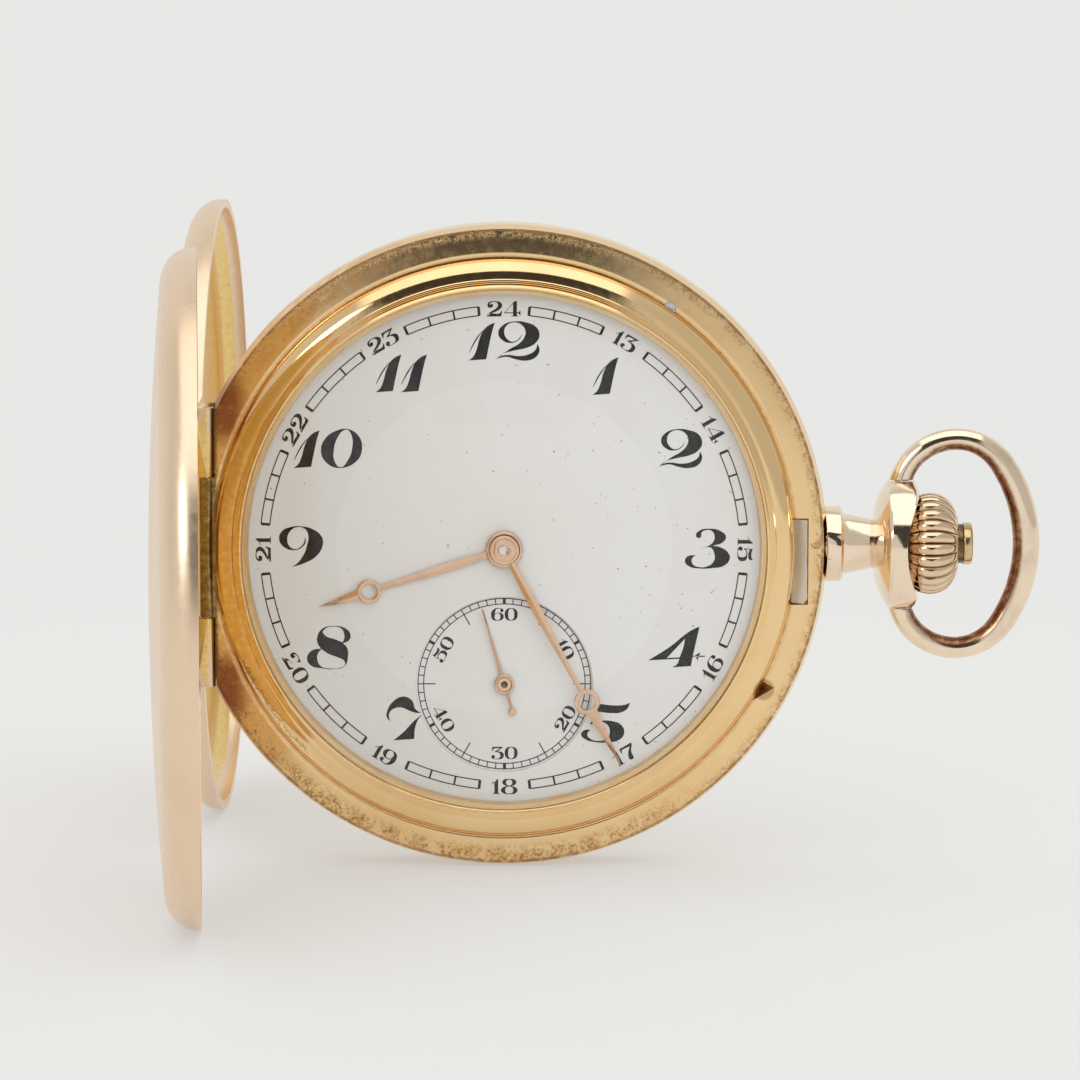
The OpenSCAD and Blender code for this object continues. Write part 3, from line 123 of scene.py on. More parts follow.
class Bench:
    """Node tree of one material, or of the world, built node by node."""

    def __init__(self, name: str, world: bool = False) -> None:
        """Start a material with a Principled shader, or a world with its Background."""
        self.owner = (bpy.data.worlds if world else bpy.data.materials).new(name)
        self.owner.use_nodes = True
        self.nodes = self.owner.node_tree.nodes
        self.links = self.owner.node_tree.links
        self.shader = self.nodes["Background" if world else "Principled BSDF"]

    def feed(self, socket: Socket, value: object) -> None:
        """Link an input to a socket, or give it a value; a colour gets its alpha.

        Args:
            socket: input that is fed.
            value: socket, number, vector or colour.
        """
        if isinstance(value, Socket):
            self.links.new(value, socket)
        elif socket.type == "RGBA":
            socket.default_value = (*value, 1)
        else:
            socket.default_value = value

    def put(self, kind: str, **inputs: object) -> bpy.types.Node:
        """Add a node and fill its inputs.

        Args:
            kind: node type name without the ShaderNode prefix.
            inputs: socket or attribute names with values, or sockets to link.

        Returns:
            The new node.
        """
        node = self.nodes.new("ShaderNode" + kind)
        for key, value in inputs.items():
            name = key.replace("_", " ")
            if name in node.inputs:
                self.feed(node.inputs[name], value)
            else:
                setattr(node, key, value)
        return node

    def set(self, **inputs: object) -> None:
        """Set or link inputs of the shader."""
        for key, value in inputs.items():
            self.feed(self.shader.inputs[key.replace("_", " ")], value)

    def overlay(self, share: Socket, kind: str, colour: Colour) -> None:
        """Mix a plain shader over the material's own.

        Args:
            share: share of the plain shader.
            kind: its node type.
            colour: its colour.
        """
        mix = self.put("MixShader", Fac=share)
        self.links.new(self.shader.outputs[0], mix.inputs[1])
        self.links.new(self.put(kind, Color=colour).outputs[0], mix.inputs[2])
        self.links.new(mix.outputs[0], self.nodes["Material Output"].inputs["Surface"])

    def coords(self, centre: Vector) -> Socket:
        """Object coordinates in millimetres from a centre."""
        place_at = self.put("TexCoord").outputs["Object"]
        return self.put("Mapping", Vector=place_at, Location=-centre / MM, Scale=(1 / MM,) * 3).outputs[0]

    def split(self, coords: Socket) -> list[Socket]:
        """The three coordinates of a vector."""
        return list(self.put("SeparateXYZ", Vector=coords).outputs)

    def join(self, x: object, y: object, z: object = 0.0) -> Socket:
        """A vector of three values or sockets."""
        return self.put("CombineXYZ", X=x, Y=y, Z=z).outputs[0]

    def math(self, kind: str, first: object, *others: object) -> Socket:
        """Chain Math nodes of one kind.

        Args:
            kind: operation.
            first: value or socket that the chain starts from.
            others: values or sockets that join in, one node each.

        Returns:
            Output of the last node.
        """
        for other in others or (0.0,):
            node = self.put("Math", operation=kind)
            self.feed(node.inputs[0], first)
            self.feed(node.inputs[1], other)
            first = node.outputs[0]
        return first

    def times(self, *values: object) -> Socket:
        """Product of values and sockets."""
        return self.math("MULTIPLY", *values)

    def plus(self, *values: object) -> Socket:
        """Sum of values and sockets."""
        return self.math("ADD", *values)

    def most(self, *values: object) -> Socket:
        """Largest of values and sockets."""
        return self.math("MAXIMUM", *values)

    def gap(self, a: object, b: object) -> Socket:
        """Distance between two values."""
        return self.math("ABSOLUTE", self.math("SUBTRACT", a, b))

    def length(self, a: Socket, b: Socket) -> Socket:
        """Length of two legs at a right angle."""
        return self.math("SQRT", self.plus(self.times(a, a), self.times(b, b)))

    def radius(self, coords: Socket) -> Socket:
        """Distance from the axis through the centre of the coordinates, square to the dial."""
        x, _, z = self.split(coords)
        return self.length(x, z)

    def noise(self, coords: Socket, grain: Grain) -> Socket:
        """Noise value."""
        return self.put("TexNoise", Vector=coords, Scale=grain.scale, Detail=grain.detail,
                        Roughness=grain.rough).outputs["Fac"]

    def span(self, value: Socket, low: float, high: float, out_low: float = 0, out_high: float = 1) -> Socket:
        """Smooth step of a value from one range to another."""
        return self.put("MapRange", interpolation_type="SMOOTHSTEP", Value=value, From_Min=low, From_Max=high,
                        To_Min=out_low, To_Max=out_high).outputs[0]

    def blend(self, share: object, a: object, b: object) -> Socket:
        """Mix two colours.

        Args:
            share: share of the second colour, a value or socket.
            a: first colour or socket.
            b: second colour or socket.

        Returns:
            Colour socket.
        """
        node = self.put("Mix", data_type="RGBA")
        for i, value in ((0, share), (6, a), (7, b)):
            self.feed(node.inputs[i], value)
        return node.outputs[2]

    def bump(self, height: Socket, depth: float = 1.0, strength: float = 1.0) -> None:
        """Feed a height in millimetres times depth into the shader's normal."""
        self.set(Normal=self.put("Bump", Height=height, Distance=depth * MM, Strength=strength).outputs[0])


@dataclass(frozen=True)
class Metal:
    """Polished or grained metal with handling marks, which may be striped, or sunray ground as a wheel."""

    name: str
    base: Colour
    patina: Colour
    roughness: float
    wear: float = 0.35
    grain: float = 0.0
    stripe: float = 0.0
    wheel: str = ""
    slant: Pair = (0.5, 0.866)
    stripe_depth: float = 0.16
    cloud: Grain = Grain(0.35, 5, 0.6)
    speck: Grain = Grain(6.0, 3, 0.5)
    tooth: Grain = Grain(14.0, 2, 0.5)
    ray: Grain = Grain(1.0, 4, 0.6)
    ray_scale: Pair = (0.2, 9.0)
    ring_gap: float = 0.11
    ring_depth: float = 0.05

    def stripes(self, bench: Bench, at: Socket) -> None:
        """Lay straight ground stripes aslant over the plate.

        Args:
            bench: node tree.
            at: coordinates in millimetres.
        """
        x, _, z = bench.split(at)
        along = bench.plus(bench.times(x, self.slant[0]), bench.times(z, self.slant[1]))
        bench.bump(bench.times(bench.math("PINGPONG", along, self.stripe / 2), self.stripe_depth))

    def sunray(self, bench: Bench) -> None:
        """Lay rays and fine rings round the wheel's own middle."""
        low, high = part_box(self.wheel)
        at = bench.coords((low + high) / 2)
        x, _, z = bench.split(at)
        r = bench.radius(at)
        out, round_it = self.ray_scale
        turned = bench.join(bench.times(r, out), bench.times(bench.math("ARCTAN2", z, x), round_it))
        ray = bench.span(bench.noise(turned, self.ray), 0.35, 0.65)
        bench.set(Base_Color=bench.blend(ray, self.base, self.patina))
        bench.bump(bench.times(bench.math("PINGPONG", r, self.ring_gap), self.ring_depth))

    def build(self) -> bpy.types.Material:
        """Make the material.

        Returns:
            The material, whose colour and roughness vary over the piece.
        """
        bench = Bench(self.name)
        at = bench.coords(STAND.centre)
        tone = bench.times(bench.span(bench.noise(at, self.cloud), 0.42, 0.75), self.wear)
        rough = bench.span(bench.noise(at, self.speck), 0.3, 0.75, self.roughness * 0.8, self.roughness * 1.5)
        bench.set(Base_Color=bench.blend(tone, self.base, self.patina), Roughness=rough, Metallic=1.0)
        if self.grain:
            bench.bump(bench.noise(at, self.tooth), self.grain)
        if self.stripe:
            self.stripes(bench, at)
        if self.wheel:
            self.sunray(bench)
        return bench.owner


@dataclass(frozen=True)
class CaseGold:
    """Yellow gold of the band and bezel: dirt under the rim, in the groove, low down and at the hinge."""

    name: str = "case_gold"
    base: Colour = (0.93, 0.67, 0.355)
    amber: Colour = (0.80, 0.45, 0.17)
    brown: Colour = (0.25, 0.12, 0.055)
    burnt: Colour = (0.30, 0.10, 0.05)
    olive: Colour = (0.20, 0.15, 0.06)
    satin: Colour = (0.76, 0.61, 0.38)
    rim_line: float = 25.58
    groove: float = 23.5
    sight: float = 21.02
    hinge_x: float = -22.6
    hinge_end_z: float = 11.2
    low_side: Pair = (-0.45, -0.89)
    hinge_side: Pair = (-0.77, 0.64)
    soot_at: Pair = (25.0, 0.2)
    soot_flat: float = 2.2
    notch_at: Pair = (20.9, -11.5)
    flake_side: Pair = (-0.824, -0.566)
    flake_r: float = 22.75
    flake_wave: float = 1.9
    cover_share: float = 0.72
    bulge: Pair = (-0.08, -0.02)
    mottle: Grain = Grain(0.8, 5, 0.62)
    fine: Grain = Grain(1.7, 6, 0.68)
    speck: Grain = Grain(3.1, 8, 0.78)
    cloud: Grain = Grain(0.16, 4, 0.55)
    turned: Grain = Grain(1.0, 4, 0.6)
    turned_scale: Pair = (6.0, 5.0)

    def toward(self, bench: Bench, at: Socket, r: Socket, side: Pair) -> Socket:
        """Cosine of the angle between a place on the dial's plane and a side."""
        x, _, z = bench.split(at)
        return bench.math("DIVIDE", bench.plus(bench.times(x, side[0]), bench.times(z, side[1])), r)

    def near(self, bench: Bench, at: Socket, spot: Pair, flat: float = 1.0) -> Socket:
        """Distance in millimetres from a spot on the dial's plane, heights stretched by a factor."""
        x, _, z = bench.split(at)
        over = bench.times(bench.math("SUBTRACT", z, spot[1]), flat)
        return bench.length(bench.math("SUBTRACT", x, spot[0]), over)

    def amber_stain(self, bench: Bench, at: Socket, r: Socket, zone: Socket, mottle: Socket) -> Socket:
        """Where the gold has turned amber.

        Args:
            bench: node tree.
            at: coordinates in millimetres.
            r: distance from the watch's axis.
            zone: stained zone along the rim.
            mottle: coarse cloud.

        Returns:
            Stain, 0 to 1.
        """
        span, times = bench.span, bench.times
        fine = bench.noise(at, self.fine)
        side = times(span(self.toward(bench, at, r, self.hinge_side), 0.72, 0.97),
                     span(r, self.groove + 0.3, self.groove + 1.0))
        groove = times(span(bench.gap(r, self.groove), 0.20, 0.05), span(fine, 0.30, 0.60, 0.20, 0.8))
        hinge = times(span(bench.split(at)[0], self.hinge_x + 6.5, self.hinge_x + 0.5),
                      span(fine, 0.30, 0.58))
        return bench.most(times(bench.most(zone, side), span(mottle, 0.38, 0.60)), groove, hinge)

    def brown_marks(self, bench: Bench, at: Socket, r: Socket, zone: Socket, mottle: Socket) -> Socket:
        """Specks, rim line, soot at the crown, thumb notch and torn flake line.

        Args:
            bench: node tree.
            at: coordinates in millimetres.
            r: distance from the watch's axis.
            zone: stained zone along the rim.
            mottle: coarse cloud.

        Returns:
            Marks, 0 to 1.
        """
        span, times = bench.span, bench.times
        fine = bench.noise(at, self.fine)
        speck = bench.noise(at, self.speck)
        dots = times(zone, span(speck, 0.49, 0.56), span(mottle, 0.38, 0.50, 0.15, 1.0))
        line = times(span(bench.gap(r, self.rim_line), 0.18, 0.04), span(fine, 0.30, 0.58))
        soot = times(span(self.near(bench, at, self.soot_at, self.soot_flat), 0.75, 0.35),
                     span(fine, 0.36, 0.50))
        stray = times(span(speck, 0.68, 0.72), span(r, self.groove, self.groove + 0.3))
        dial_side = span(bench.split(at)[1], -0.5, -1.5)
        notch = times(span(self.near(bench, at, self.notch_at), 1.0, 0.7, 0.0, 0.7), dial_side)
        torn = bench.plus(bench.math("SUBTRACT", r, self.flake_r), times(fine, self.flake_wave))
        torn = times(span(bench.gap(torn, self.flake_wave / 2), 0.10, 0.03, 0.0, 0.9),
                     span(self.toward(bench, at, r, self.flake_side), 0.975, 0.985))
        return bench.most(dots, line, soot, stray, notch, torn)

    def dirt(self, bench: Bench, at: Socket, r: Socket) -> tuple[Socket, Socket]:
        """Where the gold is stained.

        Args:
            bench: node tree.
            at: coordinates in millimetres.
            r: distance from the watch's axis.

        Returns:
            Amber stain and brown marks, both 0 to 1.
        """
        rim, span = self.rim_line, bench.span
        mottle = bench.noise(at, self.mottle)
        narrow = bench.times(span(r, rim - 0.9, rim), span(r, rim + 0.14, rim + 0.04))
        low = span(self.toward(bench, at, r, self.low_side), 0.30, 0.70)
        wide = bench.times(span(r, rim - 1.7, rim - 0.5), low, span(r, rim + 0.3, rim + 0.1))
        zone = bench.most(bench.times(narrow, 0.8), wide)
        return (self.amber_stain(bench, at, r, zone, mottle), self.brown_marks(bench, at, r, zone, mottle))

    def relief(self, bench: Bench, r: Socket, brown: Socket, fine: Socket) -> Socket:
        """Height of the rolled band outside the groove, with its pits.

        Args:
            bench: node tree.
            r: distance from the watch's axis.
            brown: brown marks.
            fine: fine cloud.

        Returns:
            Height in millimetres.
        """
        out = bench.most(bench.math("SUBTRACT", r, self.groove + 0.2), 0.0)
        out = bench.math("MINIMUM", out, self.rim_line - self.groove)
        step = bench.span(r, self.groove + 0.05, self.groove + 0.35, -0.03, 0.0)
        return bench.plus(bench.times(out, self.bulge[0]), bench.times(out, out, self.bulge[1]), step,
                          bench.times(brown, -0.006), bench.times(fine, 0.003))

    def build(self) -> bpy.types.Material:
        """Make the material.

        Returns:
            The material, centred on the watch.
        """
        bench = Bench(self.name)
        span, times, blend = bench.span, bench.times, bench.blend
        at = bench.coords(STAND.centre)
        r = bench.radius(at)
        x, _, z = bench.split(at)
        fine = bench.noise(at, self.fine)
        amber, brown = self.dirt(bench, at, r)
        colour = blend(times(span(bench.noise(at, self.cloud), 0.42, 0.72), 0.25), self.base, self.amber)
        colour = blend(times(amber, self.cover_share), colour, self.amber)
        colour = blend(times(brown, self.cover_share), colour, self.brown)
        out, round_it = self.turned_scale
        turned = bench.join(times(r, out), times(bench.math("ARCTAN2", z, x), round_it))
        inner = span(r, self.sight, self.sight - 0.12)
        satin = blend(span(bench.noise(turned, self.turned), 0.40, 0.66), self.satin, self.amber)
        colour = blend(times(inner, 0.7), colour, satin)
        ends = times(span(bench.gap(bench.math("ABSOLUTE", z), self.hinge_end_z), 3.6, 1.2),
                     span(x, -20.0, -21.8), span(r, self.groove - 0.1, self.groove + 0.5),
                     span(fine, 0.22, 0.42))
        colour = blend(times(ends, 0.9), colour, self.burnt)
        strip = times(span(x, self.hinge_x - 0.3, self.hinge_x - 0.6), span(fine, 0.25, 0.65, 0.55, 0.95))
        colour = blend(strip, colour, self.olive)
        band = times(span(r, self.groove - 0.05, self.groove + 0.1), 0.07)
        rough = bench.plus(span(fine, 0.35, 0.75, 0.07, 0.14), band, times(amber, 0.10), times(brown, 0.20),
                           times(inner, 0.30))
        bench.set(Base_Color=colour, Roughness=rough, Metallic=1.0)
        bench.bump(self.relief(bench, r, brown, fine))
        return bench.owner


@dataclass(frozen=True)
class CoverGold:
    """Rose gold outside and yellow gold inside, told apart by the mesh's own attribute."""

    name: str = "cover_gold"
    rose: Colour = (0.88, 0.68, 0.49)
    shade: Colour = (0.70, 0.47, 0.30)
    inner: Colour = (0.86, 0.62, 0.24)
    spot: Colour = (0.70, 0.44, 0.13)
    roughness: Pair = (0.27, 0.16)
    cloud: Grain = Grain(0.13)
    fine: Grain = Grain(1.9, 5, 0.6)
    hair: Grain = Grain(1.6, 3, 0.6)
    hair_scale: Triple = (0.25, 3.0, 3.0)

    def build(self) -> bpy.types.Material:
        """Make the material.

        Returns:
            Two-tone material with hairlines.
        """
        bench = Bench(self.name)
        span, times, blend = bench.span, bench.times, bench.blend
        at = bench.coords(STAND.centre)
        fine = bench.noise(at, self.fine)
        side = bench.put("Attribute", attribute_type="GEOMETRY", attribute_name=INSIDE).outputs["Fac"]
        worn = times(span(bench.noise(at, self.cloud), 0.42, 0.75), 0.16)
        spots = times(span(fine, 0.45, 0.7), 0.45)
        colour = blend(side, blend(worn, self.rose, self.shade), blend(spots, self.inner, self.spot))
        drawn = bench.join(*(times(c, scale) for c, scale in zip(bench.split(at), self.hair_scale)))
        hair = span(bench.noise(drawn, self.hair), 0.62, 0.70)
        soft = bench.plus(span(fine, 0.3, 0.75, 0.0, 0.08), span(side, 0.0, 1.0, *self.roughness),
                          times(hair, 0.07))
        bench.set(Base_Color=colour, Roughness=soft, Metallic=1.0)
        bench.bump(bench.plus(times(hair, -0.002), times(fine, 0.002)))
        return bench.owner


@dataclass(frozen=True)
class WornGold:
    """Polished gold darkened where the mesh's own attribute says so: old dirt in hollows, and painted shade
    where a part sinks into another.
    """

    name: str
    base: Colour
    # Dark colour of both the dirt and the painted shade.
    dirt: Colour
    low: float
    high: float
    roughness: float
    fine: Grain = Grain(1.6, 5, 0.6)
    cloud: Grain = Grain(0.35, 4, 0.6)

    def build(self) -> bpy.types.Material:
        """Make the material.

        Returns:
            Material whose dirt and painted shade follow the surface.
        """
        bench = Bench(self.name)
        span, times = bench.span, bench.times
        at = bench.coords(STAND.centre)
        fine = bench.noise(at, self.fine)
        deep = bench.put("Attribute", attribute_type="GEOMETRY", attribute_name=DIRT_AND_SHADE).outputs["Fac"]
        # The attribute's dark colour is dirt in hollows and painted shade where a part sinks into another.
        brown = times(span(deep, self.low, self.high), span(fine, 0.28, 0.6, 0.60, 0.97))
        colour = bench.blend(times(span(bench.noise(at, self.cloud), 0.45, 0.75), 0.2), self.base, self.dirt)
        rough = span(fine, 0.3, 0.75, self.roughness * 0.8, self.roughness * 1.4)
        rough = bench.plus(rough, times(brown, 0.14))
        bench.set(Base_Color=bench.blend(brown, colour, self.dirt), Roughness=rough, Metallic=1.0)
        return bench.owner


@dataclass(frozen=True)
class Enamel:
    """White vitreous enamel with a faint cloud, a few specks and the step of its middle."""

    name: str = "enamel_white"
    base: Colour = (0.735, 0.735, 0.725)
    warm: Colour = (0.72, 0.715, 0.695)
    speck: Colour = (0.42, 0.34, 0.22)
    soot: Colour = (0.10, 0.09, 0.09)
    edge: Colour = (0.50, 0.49, 0.46)
    centre_r: float = 13.5
    step_half: float = 0.12
    cloud: Grain = Grain(0.09, 3)
    spots: Grain = Grain(1.9, 1, 0.4)
    dust: Grain = Grain(3.4, 1, 0.4)
    swell: Grain = Grain(0.25, 2)

    def build(self) -> bpy.types.Material:
        """Make the material.

        Returns:
            Glazed white material.
        """
        bench = Bench(self.name)
        span, times, blend = bench.span, bench.times, bench.blend
        at = bench.coords(STAND.centre)
        colour = blend(span(bench.noise(at, self.cloud), 0.35, 0.7), self.base, self.warm)
        spot = span(bench.noise(at, self.spots), 0.775, 0.80)
        colour = blend(times(spot, 0.6), colour, self.speck)
        dust = bench.plus(bench.noise(at, self.dust), span(bench.split(at)[0], -6.0, 10.0, -0.02, 0.012))
        colour = blend(span(dust, 0.782, 0.797, 0.0, 0.8), colour, self.soot)
        step = span(bench.radius(at), self.centre_r - self.step_half, self.centre_r + self.step_half)
        colour = blend(times(step, 0.10), colour, self.edge)
        bench.set(Base_Color=colour, Roughness=0.2, Coat_Weight=0.3, Coat_Roughness=0.06)
        bench.bump(bench.plus(step, times(bench.noise(at, self.swell), 0.4)), 0.012, 0.5)
        return bench.owner


@dataclass(frozen=True)
class Clear:
    """Glass or jewel that light passes through."""

    name: str
    tint: Colour
    index: float
    roughness: float = 0.0
    smear: Grain = Grain(0.5, 4, 0.6)

    def build(self) -> bpy.types.Material:
        """Make the material.

        Returns:
            Transmitting material with faint smears, which casts no dark shadow.
        """
        bench = Bench(self.name)
        at = bench.coords(STAND.centre)
        smear = bench.span(bench.noise(at, self.smear), 0.45, 0.8, self.roughness, self.roughness + 0.02)
        bench.set(Base_Color=self.tint, Transmission_Weight=1.0, IOR=self.index, Roughness=smear)
        path = bench.put("LightPath").outputs
        bench.overlay(bench.most(path["Is Shadow Ray"], path["Is Diffuse Ray"]), "BsdfTransparent", self.tint)
        return bench.owner


@dataclass(frozen=True)
class Ink:
    """Fired black paint of the dial's figures."""

    name: str = "dial_ink"
    base: Colour = (0.010, 0.0095, 0.009)
    worn: Colour = (0.028, 0.027, 0.026)
    cloud: Grain = Grain(2.2)

    def build(self) -> bpy.types.Material:
        """Make the material.

        Returns:
            Near-black glossy paint.
        """
        bench = Bench(self.name)
        cloud = bench.noise(bench.coords(STAND.centre), self.cloud)
        colour = bench.blend(bench.span(cloud, 0.4, 0.7), self.base, self.worn)
        bench.set(Base_Color=colour, Roughness=0.35, Specular_IOR_Level=0.12)
        return bench.owner


@dataclass
class Finishes:
    """Every material of the watch by name."""

    made: dict[str, bpy.types.Material] = field(default_factory=dict)

    def build(self) -> "Finishes":
        """Make all materials.

        Returns:
            This object.
        """
        for finish in (
            CaseGold(),
            Metal("rose_gold_polish", (0.94, 0.78, 0.60), (0.74, 0.50, 0.33), 0.09, 0.4),
            # The dark second colours of these golds go where the mesh attribute marks them: dirt and painted
            # shade on the crown, painted shade on the button's neck, brown on the bow's inner side.
            WornGold("bow_gold", (0.94, 0.77, 0.58), (0.22, 0.075, 0.03), 0.05, 0.40, 0.09),
            WornGold("crown_gold", (0.86, 0.66, 0.45), (0.20, 0.11, 0.07), 0.35, 1.0, 0.12),
            WornGold("button_gold", (0.74, 0.56, 0.30), (0.16, 0.09, 0.05), 0.30, 0.9, 0.20),
            Metal("steel_catch", (0.90, 0.90, 0.91), (0.72, 0.70, 0.67), 0.46, 0.45, 0.004),
            CoverGold(),
            Metal("hand_gold", (0.80, 0.545, 0.375), (0.58, 0.34, 0.22), 0.13, 0.5),
            Metal("steel_polish", (0.74, 0.73, 0.72), (0.50, 0.48, 0.45), 0.34, 0.45),
            Metal("plate_striped", (0.84, 0.66, 0.35), (0.66, 0.48, 0.22), 0.24, 0.3, stripe=1.6),
            Metal("steel_ratchet", (0.66, 0.65, 0.64), (0.36, 0.35, 0.34), 0.24, wheel="ratchet_wheel"),
            Metal("steel_crown_wheel", (0.66, 0.65, 0.64), (0.36, 0.35, 0.34), 0.24, wheel="crown_wheel"),
            Metal("steel_mirror", (0.80, 0.80, 0.80), (0.60, 0.58, 0.55), 0.06, 0.3),
            Metal("steel_dark", (0.16, 0.15, 0.13), (0.09, 0.08, 0.07), 0.22, 0.5),
            Metal("steel_blued", (0.05, 0.09, 0.26), (0.14, 0.07, 0.16), 0.18, 0.3),
            Metal("plate_gilt", (0.83, 0.67, 0.37), (0.66, 0.48, 0.22), 0.34, 0.3, 0.006),
            Metal("wheel_gilt", (0.82, 0.60, 0.26), (0.60, 0.40, 0.16), 0.2, 0.3),
            Enamel(),
            Clear("crystal_clear", (1.0, 1.0, 1.0), 1.34),
            Clear("jewel_ruby", (0.75, 0.05, 0.16), 1.76, 0.05),
            Ink(),
        ):
            self.made[finish.name] = finish.build()
            log.info("finish %s", finish.name)
        return self

    def __getitem__(self, name: str) -> bpy.types.Material:
        """Material of that name."""
        return self.made[name]

    def of(self, node: str) -> bpy.types.Material:
        """Material of a CAD node, by its name or else by its slot in the record."""
        return self.made[NODE_FINISH.get(node, SLOT_FINISH[SLOTS[node]])]


SLOTS = {row["node"]: row["material_slot"] for row in frame["record"]["subparts"]}
BODIES = {node: body for body, nodes in frame["record"]["behaviour"]["bodies"].items() for node in nodes}
SLOT_FINISH = {
    "yellow_gold": "case_gold",
    "rose_gold": "rose_gold_polish",
    "hand_gold": "hand_gold",
    "crystal_glass": "crystal_clear",
    "enamel": "enamel_white",
    "steel": "steel_polish",
    "blued_steel": "steel_blued",
    "ruby": "jewel_ruby",
    "gilt_plate": "plate_gilt",
    "gilt_wheel": "wheel_gilt",
}
NODE_FINISH = {
    "front_cover": "cover_gold",
    "back_cover": "cover_gold",
    "crown": "crown_gold",
    "push_button": "button_gold",
    "lock_spring": "steel_catch",
    "bridge_plate": "plate_striped",
    "ratchet_wheel": "steel_ratchet",
    "crown_wheel": "steel_crown_wheel",
}


class Form:
    """A bmesh in watch millimetres that becomes one piece."""

    def __init__(self) -> None:
        """Start an empty form."""
        self.bm = bmesh.new()

    @classmethod
    def of_node(cls, name: str) -> "Form":
        """Copy a CAD node with its doubles merged, so that its bands shade as one.

        Args:
            name: node name.

        Returns:
            The copy, in watch millimetres.
        """
        form = cls()
        node = frame["nodes"][name]
        form.bm.from_mesh(node.data)
        form.move(STAND.matrix().inverted() @ node.matrix_world)
        bmesh.ops.remove_doubles(form.bm, verts=form.bm.verts, dist=2e-4)
        bmesh.ops.recalc_face_normals(form.bm, faces=form.bm.faces)
        return form

    def chain(self, points: Points, axis: Axis, closed: bool) -> list:
        """Lay a profile of (radius, height) points beside the axis.

        Args:
            points: profile points.
            axis: axis that the profile will be spun about.
            closed: whether the last point joins the first.

        Returns:
            The new vertices and edges.
        """
        verts = []
        for r, h in points:
            verts.append(self.bm.verts.new((r, 0, h) if axis is Axis.DIAL else (h, r, 0)))
        pairs = list(zip(verts, verts[1:] + verts[:1] if closed else verts[1:]))
        edges = [self.bm.edges.new(pair) for pair in pairs]
        return verts + edges

    def lathe(self, points: Points, axis: Axis = Axis.DIAL, steps: int = 192, closed: bool = False,
              centre: Triple = (0, 0, 0)) -> "Form":
        """Spin a profile full circle.

        Args:
            points: profile of (radius, height) points.
            axis: axis of the spin.
            steps: number of steps.
            closed: whether the profile is a closed loop.
            centre: point on the axis.

        Returns:
            This form.
        """
        geom = self.chain(points, axis, closed)
        verts = [g for g in geom if isinstance(g, bmesh.types.BMVert)]
        bmesh.ops.translate(self.bm, vec=Vector(centre), verts=verts)
        direction = (0, 0, 1) if axis is Axis.DIAL else (1, 0, 0)
        bmesh.ops.spin(self.bm, geom=geom, cent=centre, axis=direction, dvec=(0, 0, 0),
                       angle=math.tau, steps=steps, use_merge=True, use_duplicate=False)
        bmesh.ops.remove_doubles(self.bm, verts=self.bm.verts, dist=1e-4)
        bmesh.ops.recalc_face_normals(self.bm, faces=self.bm.faces)
        return self

    def move(self, matrix: Matrix) -> "Form":
        """Transform the whole form."""
        bmesh.ops.transform(self.bm, matrix=matrix, verts=self.bm.verts)
        return self

    def block(self, low: Triple, high: Triple) -> "Form":
        """Add a box between two corners."""
        low, high = Vector(low), Vector(high)
        size = Matrix.Diagonal((*(high - low), 1))
        bmesh.ops.create_cube(self.bm, size=1, matrix=Matrix.Translation((low + high) / 2) @ size)
        return self

    def pin(self, x: float, y: float, r: float, low: float, high: float) -> "Form":
        """Add an upright pin between two heights."""
        bmesh.ops.create_cone(self.bm, cap_ends=True, segments=32, radius1=r, radius2=r, depth=high - low,
                              matrix=Matrix.Translation((x, y, (low + high) / 2)))
        return self

    def carve(self, tool: "Form") -> "Form":
        """Cut another closed form out of this one.

        Args:
            tool: form that is taken away, which is used up.

        Returns:
            This form.
        """
        pair = []
        for form in (self, tool):
            mesh = bpy.data.meshes.new("carve")
            form.bm.to_mesh(mesh)
            pair.append(bpy.data.objects.new("carve", mesh))
            bpy.context.scene.collection.objects.link(pair[-1])
        cut = pair[0].modifiers.new("carve", "BOOLEAN")
        cut.object, cut.operation, cut.solver = pair[1], "DIFFERENCE", "EXACT"
        graph = bpy.context.evaluated_depsgraph_get()
        result = bpy.data.meshes.new_from_object(pair[0].evaluated_get(graph))
        self.bm.clear()
        self.bm.from_mesh(result)
        tool.bm.free()
        for obj in pair:
            bpy.data.meshes.remove(obj.data)
        bpy.data.meshes.remove(result)
        return self

    def mesh(self, name: str, sharp: float = 32) -> bpy.types.Mesh:
        """Place the form in the frame as a smooth mesh.

        Args:
            name: mesh name.
            sharp: angle in degrees past which an edge stays sharp.

        Returns:
            The mesh in metres.
        """
        self.move(STAND.matrix())
        mesh = bpy.data.meshes.new(name)
        self.bm.to_mesh(mesh)
        self.bm.free()
        mesh.shade_smooth()
        mesh.set_sharp_from_angle(angle=math.radians(sharp))
        return mesh

    def cut(self, at: Vector, keep: Vector, verts: Sequence[bmesh.types.BMVert]) -> None:
        """Cut some of the form off at a plane and close it.

        Args:
            at: point on the plane.
            keep: direction of the side that stays.
            verts: vertices of the part that is cut.
        """
        chosen = set(verts)
        geom = list(chosen)
        geom += [e for e in self.bm.edges if all(v in chosen for v in e.verts)]
        geom += [f for f in self.bm.faces if all(v in chosen for v in f.verts)]
        made = bmesh.ops.bisect_plane(self.bm, geom=geom, plane_co=at, plane_no=-keep, clear_outer=True)
        rim = [g for g in made["geom_cut"] if isinstance(g, bmesh.types.BMEdge)]
        bmesh.ops.holes_fill(self.bm, edges=rim, sides=0)

    def quad(self, corners: Sequence[Pair], height: float) -> None:
        """Add one flat face at a height, from corners in the dial's plane."""
        self.bm.faces.new([self.bm.verts.new((x, y, height)) for x, y in corners])


